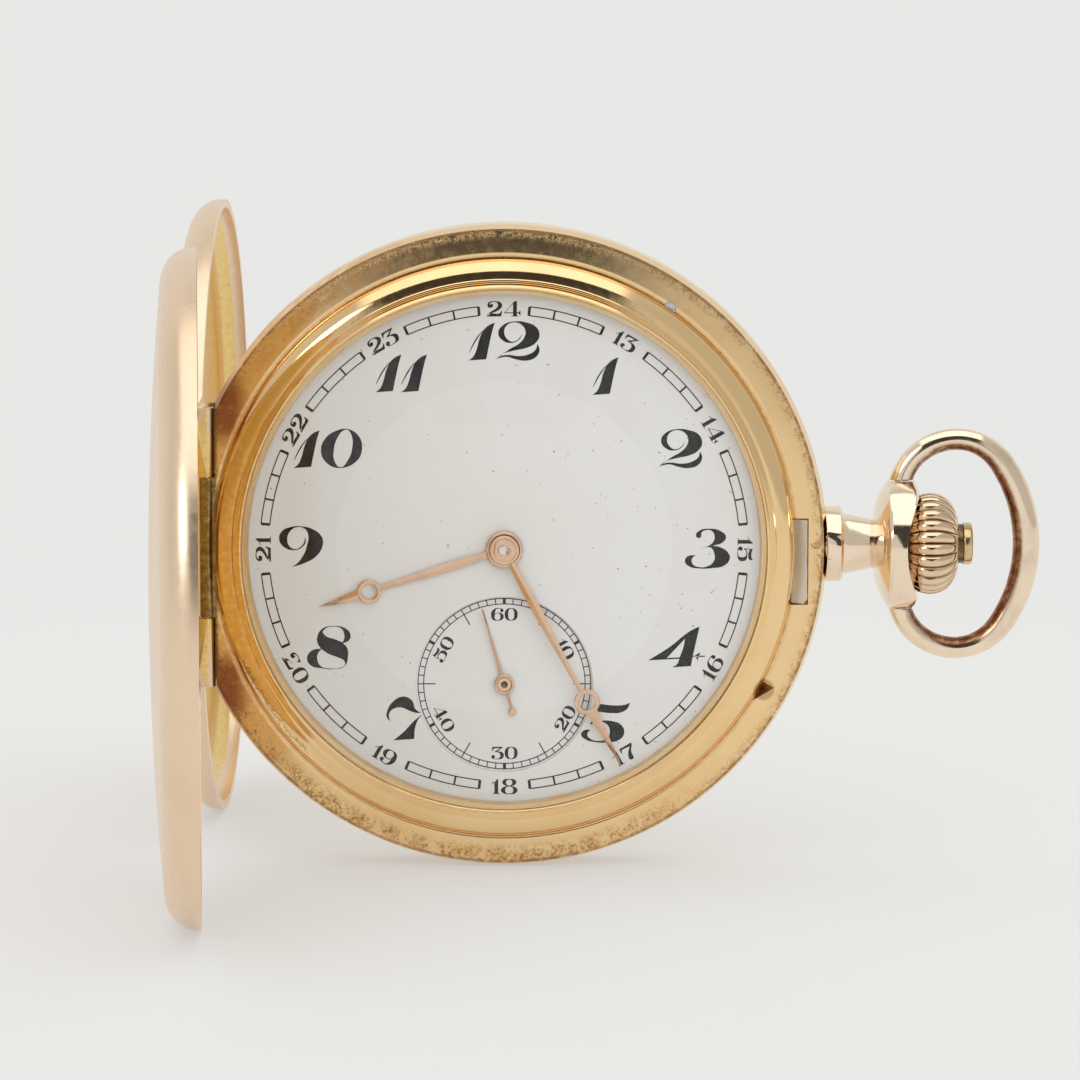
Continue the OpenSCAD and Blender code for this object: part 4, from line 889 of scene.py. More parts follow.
def place(name: str, mesh: bpy.types.Mesh, material: bpy.types.Material, body: str,
          replaces: Sequence[str] = ()) -> bpy.types.Object:
    """Make a piece of a mesh and hang it on its body.

    Args:
        name: piece name.
        mesh: mesh in frame metres.
        material: its finish.
        body: body that it rides on.
        replaces: nodes that it stands for.

    Returns:
        The piece.
    """
    piece = bpy.data.objects.new(name, mesh)
    bpy.context.scene.collection.objects.link(piece)
    if material.name not in [m.name for m in mesh.materials if m]:
        mesh.materials.append(material)
    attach(piece, body)
    if replaces:
        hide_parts(*replaces)
    log.info("piece %s: %d faces on %s", name, len(mesh.polygons), body)
    return piece


def stand_in(name: str, mesh: bpy.types.Mesh, material: bpy.types.Material, node: str) -> bpy.types.Object:
    """Make a piece that stands for a CAD node, on the node's own body.

    Args:
        name: piece name.
        mesh: mesh in frame metres.
        material: its finish.
        node: node that it replaces.

    Returns:
        The piece.
    """
    return place(name, mesh, material, BODIES[node], (node,))


@dataclass(frozen=True)
class Glyph:
    """One figure: its width and its outlines in hundredths of a millimetre, ! at corners."""

    width: float
    outlines: tuple[str, ...]


FIGURES = {
    "1": Glyph(209, (
        "209,304! 188,232 160,108 140,10! 0,0! 36,30 66,97 83,163 110,235! 156,279",
        "110,235! 61,160 7,64! 3,66! 52,166 102,232!",
    )),
    "2": Glyph(347, (
        "211,236! 196,192 138,151 88,173 65,231 88,283 149,305 207,283 235,233 224,182 185,137 102,87 "
        "0,10! 44,48 141,79 251,104 320,145 347,203 320,269 244,304 155,314 55,283 18,224 48,164 130,142 "
        "191,175",
        "0,10! 44,37 102,44 182,35 265,51 315,86 331,134! 347,87 320,29 240,-1 155,10 88,29 37,23",
    )),
    "3": Glyph(360, (
        "135,163! 180,182 227,218 238,262 218,304 174,315 133,293 127,257 102,251 88,273 115,309 191,325 "
        "280,308 329,260 304,215 225,188! 298,169 349,127 360,83 318,28 218,6 115,3 32,21 0,58 18,99 "
        "87,112! 57,83 61,41 115,14 184,22 232,62 235,127 202,174",
    )),
    "4": Glyph(456, (
        "0,57! 177,169 308,276 370,314 412,331! 391,238 359,94! 456,94! 456,86! 358,86! 343,10! 193,0! "
        "232,26 251,70!",
        "297,235! 149,76! 253,81! 282,162",
        "419,122! 384,102 372,88! 390,73 396,44! 403,77 410,97",
    )),
    "5": Glyph(395, (
        "395,325! 356,308 268,301 155,314! 72,145! 144,166 202,153 232,90 210,32 144,12 81,26 50,65 "
        "75,104! 26,99 0,65 33,26 109,3 227,1 312,23 348,79 326,140 240,175 151,175 97,162 138,251! "
        "240,239 326,246 376,280",
    )),
    "7": Glyph(287, (
        "276,224! 229,258 213,311 177,347 122,355 52,316 6,242 1,189 32,152! 19,189 22,221 55,256 122,267 "
        "188,239 235,224",
        "287,214! 249,159 227,90 222,11! 55,-1! 142,73 211,148",
    )),
    "8": Glyph(351, (
        "290,211! 338,235 351,280 315,329 213,352 124,329 83,262 88,206 113,167! 41,153 0,90 28,32 127,6 "
        "213,0 301,23 329,104 322,175",
        "124,302! 157,336 217,347 273,334 298,294 300,249 286,218! 224,244 157,267",
        "116,163! 175,124 254,94 301,65 304,35 265,11 185,6 113,23 83,76 88,128",
    )),
    "9": Glyph(352, (
        "52,3! 119,26 191,106 225,196 235,265 211,320 149,338 91,307 65,238 87,178 131,160 180,185 "
        "204,227 204,261! 214,228 188,178 128,152 46,171 0,238 22,304 94,338 170,345 273,320 343,258 "
        "352,203 308,113 204,47",
    )),
    "0": Glyph(330, (
        "210,315 304,257 330,163 293,64 148,0 40,46 0,142 40,243 134,304",
        "210,308 247,260 251,163 217,66 155,7 109,55 104,149 134,246 175,298",
    )),
}
SMALL_FIGURES = {
    "1": Glyph(58, (
        "46,100! 46,6! 58,4! 58,0! 8,0! 8,4! 21,6! 21,76! 2,64! 0,68! 26,84 38,100!",
    )),
    "2": Glyph(104, (
        "4,68 8,90 28,100 54,101 88,94 101,74 90,52 62,34 30,20 10,8! 2,8! 20,28 50,46 68,62 73,78 64,92 "
        "46,96 26,91 19,80 30,84 40,76 38,64 26,58 10,60",
        "0,0! 2,14! 40,20 72,18 88,24 96,38! 101,36! 98,16 92,0!",
    )),
    "3": Glyph(100, (
        "4,66! 8,100! 96,100! 50,62! 80,59 99,44 100,28 92,8 66,-1 36,-1 8,4 0,16 4,28 15,33 28,27 28,16 "
        "21,8 36,3 54,4 67,12 73,29 67,47 50,56 32,57! 27,61! 70,88! 42,89 20,84 9,66!",
    )),
    "4": Glyph(116, (
        "0,21! 72,101! 88,101! 88,27! 100,27! 108,40! 112,39! 112,8! 107,8! 100,21! 88,21! 88,5! 100,4! "
        "100,0! 48,0! 48,4! 62,5! 62,21!",
        "9,27! 62,84! 62,27!",
    )),
    "5": Glyph(100, (
        "13,42! 17,101! 34,94 58,91 80,94 92,102! 92,86 84,74 62,71 40,73 21,82! 18,54! 32,63 58,65 88,57 "
        "100,34 90,8 62,-1 36,-1 10,3 0,16 3,28 14,33 27,28 28,16 22,7 36,3 54,4 68,11 73,32 67,51 50,58 "
        "31,55 18,42!",
    )),
    "7": Glyph(98, (
        "3,66! 5,100! 98,101! 97,92 74,58 65,32 65,14 59,0 44,-1 33,8 35,26 50,54 76,82! 44,86 18,84 "
        "9,66!",
    )),
    "8": Glyph(112, (
        "56,101 92,97 103,78 90,60 70,53! 98,45 111,26 99,6 56,-1 13,6 0,26 14,45 40,54! 22,60 9,78 20,97",
        "56,96 72,92 76,78 70,63 55,57 39,64 34,78 40,92",
        "55,50 76,43 83,26 76,8 56,4 34,8 28,26 35,43",
    )),
    "9": Glyph(102, (
        "50,101 86,95 102,60 93,22 60,-1 30,0 8,6 2,19 8,30 20,31 28,22 24,9 38,4 56,6 68,24 73,46! 60,38 "
        "44,36 16,42 0,66 14,93",
        "49,96 32,89 27,68 33,47 50,41 65,47 73,67 68,89",
    )),
    "0": Glyph(104, (
        "52,101 90,89 104,50 90,11 52,-1 14,11 0,50 14,89",
        "52,96 69,87 76,50 69,13 52,4 35,13 28,50 35,87",
    )),
}


@dataclass(frozen=True)
class Lettering:
    """How numbers are drawn: figures, their drawn height and gap in hundredths, and their height in mm."""

    figures: dict[str, Glyph]
    full: float
    gap: float
    height: float


@dataclass
class DialPrint:
    """Black figures and tracks fired on the enamel."""

    surface: float = 3.05
    sunk: float = 2.65
    lift: float = 0.012
    over: float = 0.002
    hour_r: float = 16.3
    hour_style: Lettering = Lettering(FIGURES, 320, 10, 3.2)
    eleven_style: Lettering = Lettering(FIGURES, 320, -5, 3.2)
    day_r: float = 19.33
    day_style: Lettering = Lettering(SMALL_FIGURES, 100, 7, 1.2)
    track: Pair = (18.9, 19.6)
    track_line: float = 0.09
    track_ticks: Pair = (0.22, 0.15)
    seconds_y: float = -11.0
    seconds_style: Lettering = Lettering(SMALL_FIGURES, 100, 8, 1.0)
    seconds_in: float = 0.85
    seconds_track: Pair = (6.5, 6.95)
    seconds_line: float = 0.075
    seconds_ticks: Pair = (0.24, 0.08)
    seconds_long: float = 0.95
    raised: dict[int, float] = field(default_factory=lambda: {12: 0.5, 11: 0.15, 4: -0.3, 7: -0.2, 1: -0.1})

    def curve(self, name: str) -> bpy.types.Curve:
        """Start a flat filled curve."""
        data = bpy.data.curves.new(name, "CURVE")
        data.dimensions = "2D"
        data.fill_mode = "BOTH"
        data.resolution_u = 6
        return data

    def outline(self, data: bpy.types.Curve, text: str, matrix: Matrix) -> None:
        """Add one closed outline of a figure.

        Args:
            data: curve that takes it.
            text: points in hundredths of a millimetre.
            matrix: place on the dial.
        """
        marks = text.split()
        spline = data.splines.new("BEZIER")
        spline.bezier_points.add(len(marks) - 1)
        for point, mark in zip(spline.bezier_points, marks):
            x, y = (float(v) / 100 for v in mark.rstrip("!").split(","))
            point.co = matrix @ Vector((x, y, 0))
        for point, mark in zip(spline.bezier_points, marks):
            kind = "VECTOR" if mark.endswith("!") else "AUTO"
            point.handle_left_type = point.handle_right_type = kind
        spline.use_cyclic_u = True

    def number(self, data: bpy.types.Curve, text: str, at: Vector, turn: float, style: Lettering) -> None:
        """Add a number, centred on a point.

        Args:
            data: curve that takes it.
            text: its figures.
            at: middle of the number.
            turn: turn about its middle, in degrees.
            style: how it is drawn.
        """
        glyphs = [style.figures["9" if c == "6" else c] for c in text]
        width = (sum(g.width for g in glyphs) + style.gap * (len(glyphs) - 1)) / 100
        half = style.full / 200
        base = (Matrix.Translation(at) @ Matrix.Rotation(math.radians(turn), 4, "Z")
                @ Matrix.Scale(style.height / (2 * half), 4))
        x = -width / 2
        for char, glyph in zip(text, glyphs):
            spot = Matrix.Translation((x, -half, 0))
            if char == "6":
                spot = (Matrix.Translation((x + glyph.width / 100, half, 0))
                        @ Matrix.Rotation(math.pi, 4, "Z"))
            for text_outline in glyph.outlines:
                self.outline(data, text_outline, base @ spot)
            x += (glyph.width + style.gap) / 100

    def tick(self, form: Form, centre: Vector, turn: float, reach: Pair, width: float, height: float) -> None:
        """Add a radial mark.

        Args:
            form: form that takes it.
            centre: middle of its track.
            turn: its turn clockwise from twelve, in degrees.
            reach: its two ends' distances from the middle.
            width: its width.
            height: its height over the watch's middle.
        """
        out = polar(90 - turn)
        side = Vector((-out.y, out.x, 0)) * width / 2
        low, high = centre + out * reach[0], centre + out * reach[1]
        form.quad([(c.x, c.y) for c in (low + side, low - side, high - side, high + side)], height)

    def band(self, form: Form, centre: Vector, turns: Pair, r: float, width: float, height: float) -> None:
        """Add a thin circular line.

        Args:
            form: form that takes it.
            centre: its middle.
            turns: its ends, in degrees clockwise from twelve.
            r: its radius.
            width: its width.
            height: its height over the watch's middle.
        """
        start, end = turns
        n = max(6, int(abs(end - start) / 1.5))
        outer = arc(centre.x, centre.y, r + width / 2, 90 - start, 90 - end, n)
        inner = arc(centre.x, centre.y, r - width / 2, 90 - start, 90 - end, n)
        for i in range(n):
            form.quad([outer[i], inner[i], inner[i + 1], outer[i + 1]], height)

    def finish_curve(self, data: bpy.types.Curve, height: float) -> bpy.types.Mesh:
        """Turn a curve into a mesh at its height on the dial.

        Args:
            data: finished curve.
            height: height in the watch frame.

        Returns:
            The placed mesh.
        """
        carrier = bpy.data.objects.new(data.name + "_carrier", data)
        bpy.context.scene.collection.objects.link(carrier)
        graph = bpy.context.evaluated_depsgraph_get()
        mesh = bpy.data.meshes.new_from_object(carrier.evaluated_get(graph))
        bpy.data.objects.remove(carrier)
        mesh.transform(STAND.matrix() @ Matrix.Translation((0, 0, height + self.lift)))
        return mesh

    def hours(self) -> bpy.types.Mesh:
        """Draw the hour figures.

        Returns:
            Mesh of the twelve-hour figures, without the six that the seconds dial takes.
        """
        data = self.curve("hour_figures")
        for hour in (1, 2, 3, 4, 5, 7, 8, 9, 10, 11, 12):
            at = polar(90 - 30 * hour, self.hour_r + self.raised.get(hour, 0))
            self.number(data, str(hour), at, 0, self.eleven_style if hour == 11 else self.hour_style)
        return self.finish_curve(data, self.surface)

    def day(self) -> bpy.types.Mesh:
        """Draw the outer figures.

        Returns:
            Mesh of the figures thirteen to twenty-four.
        """
        data = self.curve("day_figures")
        for hour in range(13, 25):
            turn = 30 * (hour - 12)
            stand = -turn if hour <= 15 or hour >= 21 else 180 - turn
            self.number(data, str(hour), polar(90 - turn, self.day_r), stand, self.day_style)
        return self.finish_curve(data, self.surface)

    def minute_track(self) -> bpy.types.Mesh:
        """Draw the minute track between the outer figures.

        Returns:
            Mesh of the open boxes.
        """
        form = Form()
        zero = Vector()
        height = self.surface + self.lift
        for hour in range(12):
            turn = 30 * hour
            for k in range(4):
                width = self.track_ticks[0 if k in (0, 3) else 1]
                self.tick(form, zero, turn + 6 + 6 * k, self.track, width, height)
            for r in self.track:
                self.band(form, zero, (turn + 6, turn + 24), r, self.track_line, height + self.over)
        return form.mesh("minute_track")

    def seconds(self) -> bpy.types.Mesh:
        """Draw the figures of the seconds dial.

        Returns:
            Mesh of the figures ten to sixty.
        """
        data = self.curve("seconds_figures")
        centre = Vector((0, self.seconds_y, 0))
        for s in (60, 10, 20, 30, 40, 50):
            at = centre + polar(90 - 6 * s, self.seconds_track[0] - self.seconds_in)
            stand = -6 * s if s in (60, 10, 50) else 180 - 6 * s
            self.number(data, str(s), at, stand, self.seconds_style)
        return self.finish_curve(data, self.sunk)

    def seconds_ring(self) -> bpy.types.Mesh:
        """Draw the seconds track.

        Returns:
            Mesh of its ticks and circles.
        """
        form = Form()
        centre = Vector((0, self.seconds_y, 0))
        height = self.sunk + self.lift
        inner_r = self.seconds_track[0]
        long = (inner_r - self.seconds_long, inner_r)
        for s in range(60):
            width = self.seconds_ticks[0 if s % 10 == 0 else 1]
            self.tick(form, centre, 6 * s, self.seconds_track, width, height)
            if s % 10 == 5:
                self.tick(form, centre, 6 * s, long, self.track_line, height)
        for r in self.seconds_track:
            self.band(form, centre, (0, 360), r, self.seconds_line, height + self.over)
        return form.mesh("seconds_ring")

    def dress(self, finishes: Finishes) -> None:
        """Print the dial.

        Args:
            finishes: materials of the watch.
        """
        for name, draw in (("hours", self.hours), ("day", self.day), ("minutes", self.minute_track),
                           ("seconds", self.seconds), ("seconds_ring", self.seconds_ring)):
            place("print_" + name, draw(), finishes["dial_ink"], "case")


@dataclass
class FrameDress:
    """Gives every CAD node the finish of its material slot."""

    def dress(self, finishes: Finishes) -> None:
        """Assign finishes.

        Args:
            finishes: materials of the watch.
        """
        for name, node in frame["nodes"].items():
            material = finishes.of(name)
            if not node.material_slots:
                node.data.materials.append(material)
            for slot in node.material_slots:
                slot.material = material
            log.info("node %s: %s", name, material.name)


@dataclass
class CaseDress:
    """Case parts whose turned bands shade as one surface."""

    plain: tuple[str, ...] = ("crystal", "cuvette", "pendant")
    covers: tuple[str, ...] = ("front_cover", "back_cover")
    rounded: dict[str, float] = field(default_factory=lambda: {"pendant": 0.1})
    rim_r: float = 25.1
    cover_z: float = 26.0
    bezel_r: float = 23.4
    crest_r: float = 21.78
    foot_z: float = 2.15
    band_z: float = 2.72
    crest_z: float = 4.22
    steps: Points = ((21.76, 4.30), (21.67, 4.32), (21.63, 4.42), (21.54, 4.44), (21.50, 4.56), (21.39, 4.58),
                     (21.34, 4.72), (21.22, 4.80), (21.10, 4.79), (21.04, 4.72))
    seat: Points = ((21.0, 4.2), (20.62, 4.2), (20.5, 3.1), (21.2, 3.1), (21.2, 2.35), (22.0, 2.35))
    pin_turn: float = 55.6
    pin_room: float = 0.6
    slot_low: Triple = (22.7, -4.6, 0.7)
    slot_high: Triple = (24.45, 2.4, 3.3)

    def bezel(self) -> bpy.types.Mesh:
        """Turn the bezel: round band, fine steps, ridge, seat of the crystal and inner wall.

        Returns:
            The bezel's mesh, with room for the hinge, the catch and the pin.
        """
        r, wide, high = self.bezel_r, self.bezel_r - self.crest_r, self.crest_z - self.band_z
        curve = [(math.cos(math.radians(t)), math.sin(math.radians(t))) for t in range(0, 89, 4)]
        profile = [(self.seat[-1][0], self.foot_z), (r - 0.05, self.foot_z), (r, self.foot_z + 0.1)]
        profile += [(self.crest_r + wide * c, self.band_z + high * s) for c, s in curve]
        form = Form().lathe([*profile, *self.steps, *self.seat], steps=256, closed=True)
        a = math.radians(self.pin_turn)
        low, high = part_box("bezel")
        chord = (low.x - STAND.centre.x) / MM
        tool = Form().block((-30, -30, -5), (chord, 30, 9)).block(self.slot_low, self.slot_high)
        tool.pin(r * math.cos(a), r * math.sin(a), self.pin_room, 0, self.band_z)
        return form.carve(tool).mesh("bezel_turned", 30)

    def smooth(self, name: str, finishes: Finishes, mark_inside: bool = False) -> None:
        """Stand a merged copy in for a node.

        Args:
            name: node name.
            finishes: materials of the watch.
            mark_inside: whether its inner faces get the attribute that tells them apart.
        """
        form = Form.of_node(name)
        inside = [self.is_inside(f) for f in form.bm.faces] if mark_inside else []
        mesh = form.mesh(name + "_skin", 28)
        if mark_inside:
            mesh.attributes.new(INSIDE, "FLOAT", "FACE").data.foreach_set("value", inside)
        piece = stand_in(name + "_skin", mesh, finishes.of(name), name)
        if name in self.rounded:
            edge = piece.modifiers.new("edge", "BEVEL")
            edge.width, edge.segments, edge.angle_limit = self.rounded[name] * MM, 2, math.radians(30)
            edge.harden_normals = True

    def is_inside(self, face: bmesh.types.BMFace) -> float:
        """Whether a face of an open cover looks inward, away from its rim."""
        middle = face.calc_center_median()
        from_axis = abs(middle.y) ** 2 + (abs(middle.z) - self.cover_z) ** 2
        return float(face.normal.x > 0.05 and from_axis < self.rim_r ** 2)

    def dress(self, finishes: Finishes) -> None:
        """Dress the case.

        Args:
            finishes: materials of the watch.
        """
        for name in self.plain:
            self.smooth(name, finishes)
        for name in self.covers:
            self.smooth(name, finishes, mark_inside=True)
        stand_in("bezel_turned", self.bezel(), finishes["case_gold"], "bezel")


@dataclass
class BowDress:
    """Bow whose stock swells toward its end and its feet."""

    mid_x: float = 36.4903
    shift: float = 5.49181
    arc_r: float = 11.4
    bend_r: float = 4.75
    bend_y: float = 3.75
    foot_y: float = 5.24
    stem_z: float = -0.25
    stock: float = 0.88
    inset: float = 0.012
    thin: float = 0.87
    end_swell: float = 0.21
    foot_swell: float = 0.15
    end_turn: float = 183.0
    sides: int = 32

    def line(self) -> list[tuple[Vector, Vector, float]]:
        """Points of the outer line with their normals and turn, from the upper foot round to the lower.

        Returns:
            Place, outward normal and angle in degrees of each point.
        """
        join = math.degrees(math.atan2(self.bend_y, self.shift))
        rows = [(self.mid_x - self.shift, 0.0, self.arc_r, join * i / 40) for i in range(41)]
        rows += [(self.mid_x, self.bend_y, self.bend_r, join + (self.end_turn - join) * i / 48)
                 for i in range(1, 49)]
        upper = [(Vector((cx, cy, 0)) + polar(a) * r, polar(a), a) for cx, cy, r, a in rows]
        lower = [(Vector((p.x, -p.y, 0)), Vector((n.x, -n.y, 0)), a) for p, n, a in upper[1:]]
        return list(reversed(upper)) + lower

    def radius(self, turn: float) -> float:
        """Radius of the stock at a turn from the bow's end, in degrees."""
        swell = 0.5 + 0.5 * math.cos(math.radians(min(turn, 90) * 2))
        foot = max(0.0, min(1.0, (turn - 130) / 50))
        return self.thin + self.end_swell * swell + self.foot_swell * foot ** 2

    def dress(self, finishes: Finishes) -> None:
        """Sweep the bow.

        Args:
            finishes: materials of the watch.
        """
        form = Form()
        rings = []
        for place_at, normal, turn in self.line():
            r = self.radius(turn)
            middle = place_at + normal * (self.stock - self.inset - r) + Vector((0, 0, self.stem_z))
            ring = []
            for k in range(self.sides):
                a = math.tau * k / self.sides
                up = Vector((0, 0, r * math.sin(a)))
                ring.append(form.bm.verts.new(middle + normal * r * math.cos(a) + up))
            rings.append(ring)
        for low, high in zip(rings, rings[1:]):
            for k in range(self.sides):
                j = (k + 1) % self.sides
                form.bm.faces.new((low[k], low[j], high[j], high[k]))
        for side in (1, -1):
            leg = [v for v in form.bm.verts if v.co.y * side > 0 and v.co.x < self.mid_x]
            form.cut(Vector((0, side * self.foot_y, 0)), Vector((0, side, 0)), leg)
        bmesh.ops.recalc_face_normals(form.bm, faces=form.bm.faces)
        middle = Vector((self.mid_x, 0, 0))
        # Brown on the inner side of the stock, facing the bow's middle, weaker on the legs.
        inward = [-v.normal.dot((v.co - middle).normalized()) * (1 if v.co.x > self.mid_x - 2 else 0.6)
                  for v in form.bm.verts]
        mesh = form.mesh("bow_ring")
        mesh.attributes.new(DIRT_AND_SHADE, "FLOAT", "POINT").data.foreach_set("value", inward)
        stand_in("bow_ring", mesh, finishes["bow_gold"], "bow")


@dataclass
class CrownDress:
    """Winding crown with rounded ribs, and the button in its end."""

    foot_x: float = 32.35
    length: float = 4.25
    top_r: float = 4.13
    ribs: int = 24
    rib_depth: float = 0.36
    steps: int = 12
    flank: float = 0.95
    valley: float = 0.3122
    stem_r: float = 0.75
    button_r: float = 1.7
    stem_z: float = -0.25

    def crown(self) -> bpy.types.Mesh:
        """Turn the onion form, then sink the grooves between its ribs.

        Returns:
            The crown's mesh, with dirt in the grooves, painted shade in the recess round the button, and
            darker towards its foot.
        """
        end = self.foot_x + self.length
        round_r = self.length / 2 + 0.1
        mid_x, mid_r = self.foot_x + self.length / 2 - 0.1, self.top_r - round_r
        curve = [(math.sin(math.radians(t)), math.cos(math.radians(t))) for t in range(155, 20, -6)]
        profile = [(self.stem_r, self.foot_x), (2.6, self.foot_x)]
        profile += [(mid_r + round_r * s, mid_x + round_r * c) for s, c in curve]
        profile += [(2.42, end - 0.08), (2.25, end), (1.92, end), (1.9, end - 0.9), (self.stem_r, end - 0.9)]
        form = Form().lathe(profile, Axis.STEM, self.ribs * self.steps, True, (0, 0, self.stem_z))
        dirt = []
        for vert in form.bm.verts:
            y, z = vert.co.y, vert.co.z - self.stem_z
            r = math.hypot(y, z)
            u = 2 * ((math.atan2(z, y) * self.ribs / math.tau + 0.5) % 1.0) - 1
            crest = (math.sqrt(1 - (self.flank * u) ** 2) - self.valley) / (1 - self.valley)
            share = max(0.0, min(1.0, (r - 2.3) / 1.2)) if vert.co.x > self.foot_x + 0.01 else 0.0
            sink = 1 - self.rib_depth * (1 - crest) * share / max(r, 1.0)
            vert.co.y, vert.co.z = y * sink, self.stem_z + z * sink
            # Dirt in the grooves between the ribs; painted shade in the recess round the button (r under
            # 2.2); darker towards the foot.
            dirt.append(max((1 - crest) * min(1.0, share * 2), 0.85 if r < 2.2 else 0.0,
                            0.9 - 1.2 * (vert.co.x - self.foot_x)))
        mesh = form.mesh("crown_ribbed", 50)
        mesh.attributes.new(DIRT_AND_SHADE, "FLOAT", "POINT").data.foreach_set("value", dirt)
        return mesh

    def button(self) -> bpy.types.Mesh:
        """Turn the button with its neck, lip and rod.

        Returns:
            The button's mesh, with painted shade on its neck, where it sinks into the crown.
        """
        end = self.foot_x + self.length
        r = self.button_r
        lip = ((0.1, -0.5), (0.1, 0.42), (0.03, 0.46), (0.0, 0.54), (0.0, 0.98), (0.03, 1.08), (0.12, 1.17),
               (0.3, 1.2), (0.45, 1.19))
        profile = [(0.0, end - 1.4), (0.7, end - 1.4), (0.7, end - 0.5), *((r - a, end + b) for a, b in lip),
                   (0.8, end + 1.25), (0.0, end + 1.28)]
        form = Form().lathe(profile, Axis.STEM, 96, centre=(0, 0, self.stem_z))
        # Painted shade: the neck, sunk in the crown's end, is marked for the dark colour.
        dirt = [max(0.0, min(1.0, (end + 0.52 - v.co.x) / 0.1)) for v in form.bm.verts]
        mesh = form.mesh("button_lipped", 40)
        mesh.attributes.new(DIRT_AND_SHADE, "FLOAT", "POINT").data.foreach_set("value", dirt)
        return mesh

    def dress(self, finishes: Finishes) -> None:
        """Dress the crown and the button.

        Args:
            finishes: materials of the watch.
        """
        stand_in("crown_ribbed", self.crown(), finishes["crown_gold"], "crown")
        stand_in("button_lipped", self.button(), finishes["button_gold"], "push_button")


@dataclass(frozen=True)
class Hand:
    """Measures of one hand, in mm: reach, ring, half widths, hub and heights."""

    node: str
    turn: float
    reach: float
    hub_r: float
    bore: float
    z: float
    ring_y: float = 0.0
    ring_r: float = 0.0
    root: float = 0.4
    neck: float = 0.2
    tail: float = 0.0
    at: Pair = (0.0, 0.0)
    bead: float = 0.12
    top: float = 0.24
    collar: float = 0.0


@dataclass
class HandsDress:
    """Ring hands with a ridge along their arms and turned hubs."""

    thick: float = 0.18
    foot: float = 0.02
    ring_hole: float = 0.62
    ring_crown: float = 0.08
    overlap: float = 0.85
    belly_at: float = 0.36
    hands: tuple[Hand, ...] = (
        Hand("hour_hand", 252.6, 15.6, 1.50, 0.98, 3.30, 11.39, 0.98, 0.24, 0.20, bead=0.20, top=0.32),
        Hand("minute_hand", 151.7, 19.8, 1.20, 0.47, 3.75, 13.98, 1.04, 0.24, 0.17, bead=0.17, top=0.38,
             collar=0.74),
        Hand("seconds_hand", 343.8, 6.4, 0.80, 0.24, 2.90, root=0.17, neck=0.06, tail=2.69, at=(0, -11)),
    )

    def roof(self, form: Form, rows: Sequence[Pair], z: float) -> None:
        """Add an arm with a ridge along its middle.

        Args:
            form: form that takes it.
            rows: distance from the hub and half width of each cross-section.
            z: height of its underside.
        """
        rings = []
        for y, w in rows:
            low, top = z + self.foot, z + self.thick
            section = [(-w, low), (-w, z + 0.05), (0, top + 0.02), (w, z + 0.05), (w, low)]
            rings.append([form.bm.verts.new((x, y, h)) for x, h in section])
        for a, b in zip(rings, rings[1:]):
            for k in range(5):
                j = (k + 1) % 5
                form.bm.faces.new((a[k], a[j], b[j], b[k]))
        form.bm.faces.new(rings[0])
        form.bm.faces.new(rings[-1])

    def ring(self, form: Form, hand: Hand) -> None:
        """Add the open ring near the tip.

        Args:
            form: form that takes it.
            hand: measures of the hand.
        """
        r, z = hand.ring_r, hand.z
        hole = self.ring_hole * r
        middle, half = (r + hole) / 2, (r - hole) / 2
        crown = [(math.cos(math.radians(a)), math.sin(math.radians(a))) for a in (150, 120, 90, 60, 30)]
        profile = [(hole, z + self.foot), (hole, z + 0.1)]
        profile += [(middle + half * c, z + 0.1 + self.ring_crown * s) for c, s in crown]
        profile += [(r, z + 0.1), (r, z + self.foot)]
        form.lathe(profile, steps=64, closed=True, centre=(0, hand.ring_y, 0))

    def hub(self, form: Form, hand: Hand) -> None:
        """Add the hub: a round bead outside a flat ring, hollow below where it caps the arbor's end.

        Args:
            form: form that takes it.
            hand: measures of the hand.
        """
        r, z, bead, top = hand.hub_r, hand.z, hand.bead, hand.z + hand.top
        profile = [(r, z + self.foot), *arc(r - bead, top - bead, bead, 0, 135, 9)]
        flat = r - 2 * bead
        if hand.collar:
            profile += [(flat, top - 0.05), (flat - 0.05, top - 0.02), (hand.bore + 0.05, top - 0.01),
                        (hand.bore, top - 0.04), (hand.bore, top - 0.07), (hand.collar, top - 0.07),
                        (hand.collar, z + self.foot)]
        else:
            profile += [(min(flat, r - 1.7 * bead), top - 0.06), (hand.bore + 0.04, top - 0.05),
                        (hand.bore, top - 0.08), (hand.bore, z + self.foot)]
        form.lathe(profile, steps=96, closed=True)

    def build(self, hand: Hand) -> bpy.types.Mesh:
        """Model one hand.

        Args:
            hand: its measures.

        Returns:
            The hand's mesh, turned to its hour.
        """
        form = Form()
        self.hub(form, hand)
        start = hand.hub_r * self.overlap
        if hand.ring_r:
            near, far = hand.ring_y - hand.ring_r * 0.8, hand.ring_y + hand.ring_r * 0.8
            belly = hand.hub_r + (near - hand.hub_r) * self.belly_at
            arm = [(start, hand.root), ((hand.hub_r + belly) / 2, hand.root + 0.11),
                   (belly, hand.root + 0.14), ((belly + near) / 2, hand.neck + 0.09), (near, hand.neck)]
            self.roof(form, arm, hand.z)
            blade = hand.reach - far
            self.roof(form, [(far, 0.44), (far + blade * 0.25, 0.36), (far + blade * 0.7, 0.16),
                             (hand.reach - 0.03, 0.02)], hand.z)
            self.ring(form, hand)
        else:
            self.roof(form, [(start, hand.root), (hand.reach - 0.05, hand.neck)], hand.z)
            self.roof(form, [(-hand.tail + 0.5, 0.10), (-start, 0.14)], hand.z)
            weight = ((0.0, 0.14), (0.22, 0.12), (0.33, 0.06), (0.33, 0.02), (0.0, 0.02))
            form.lathe([(r, hand.z + h) for r, h in weight], steps=32, centre=(0, 0.35 - hand.tail, 0))
        bmesh.ops.recalc_face_normals(form.bm, faces=form.bm.faces)
        form.move(Matrix.Translation((*hand.at, 0)) @ Matrix.Rotation(math.radians(-hand.turn), 4, "Z"))
        return form.mesh(hand.node + "_fine", 30)

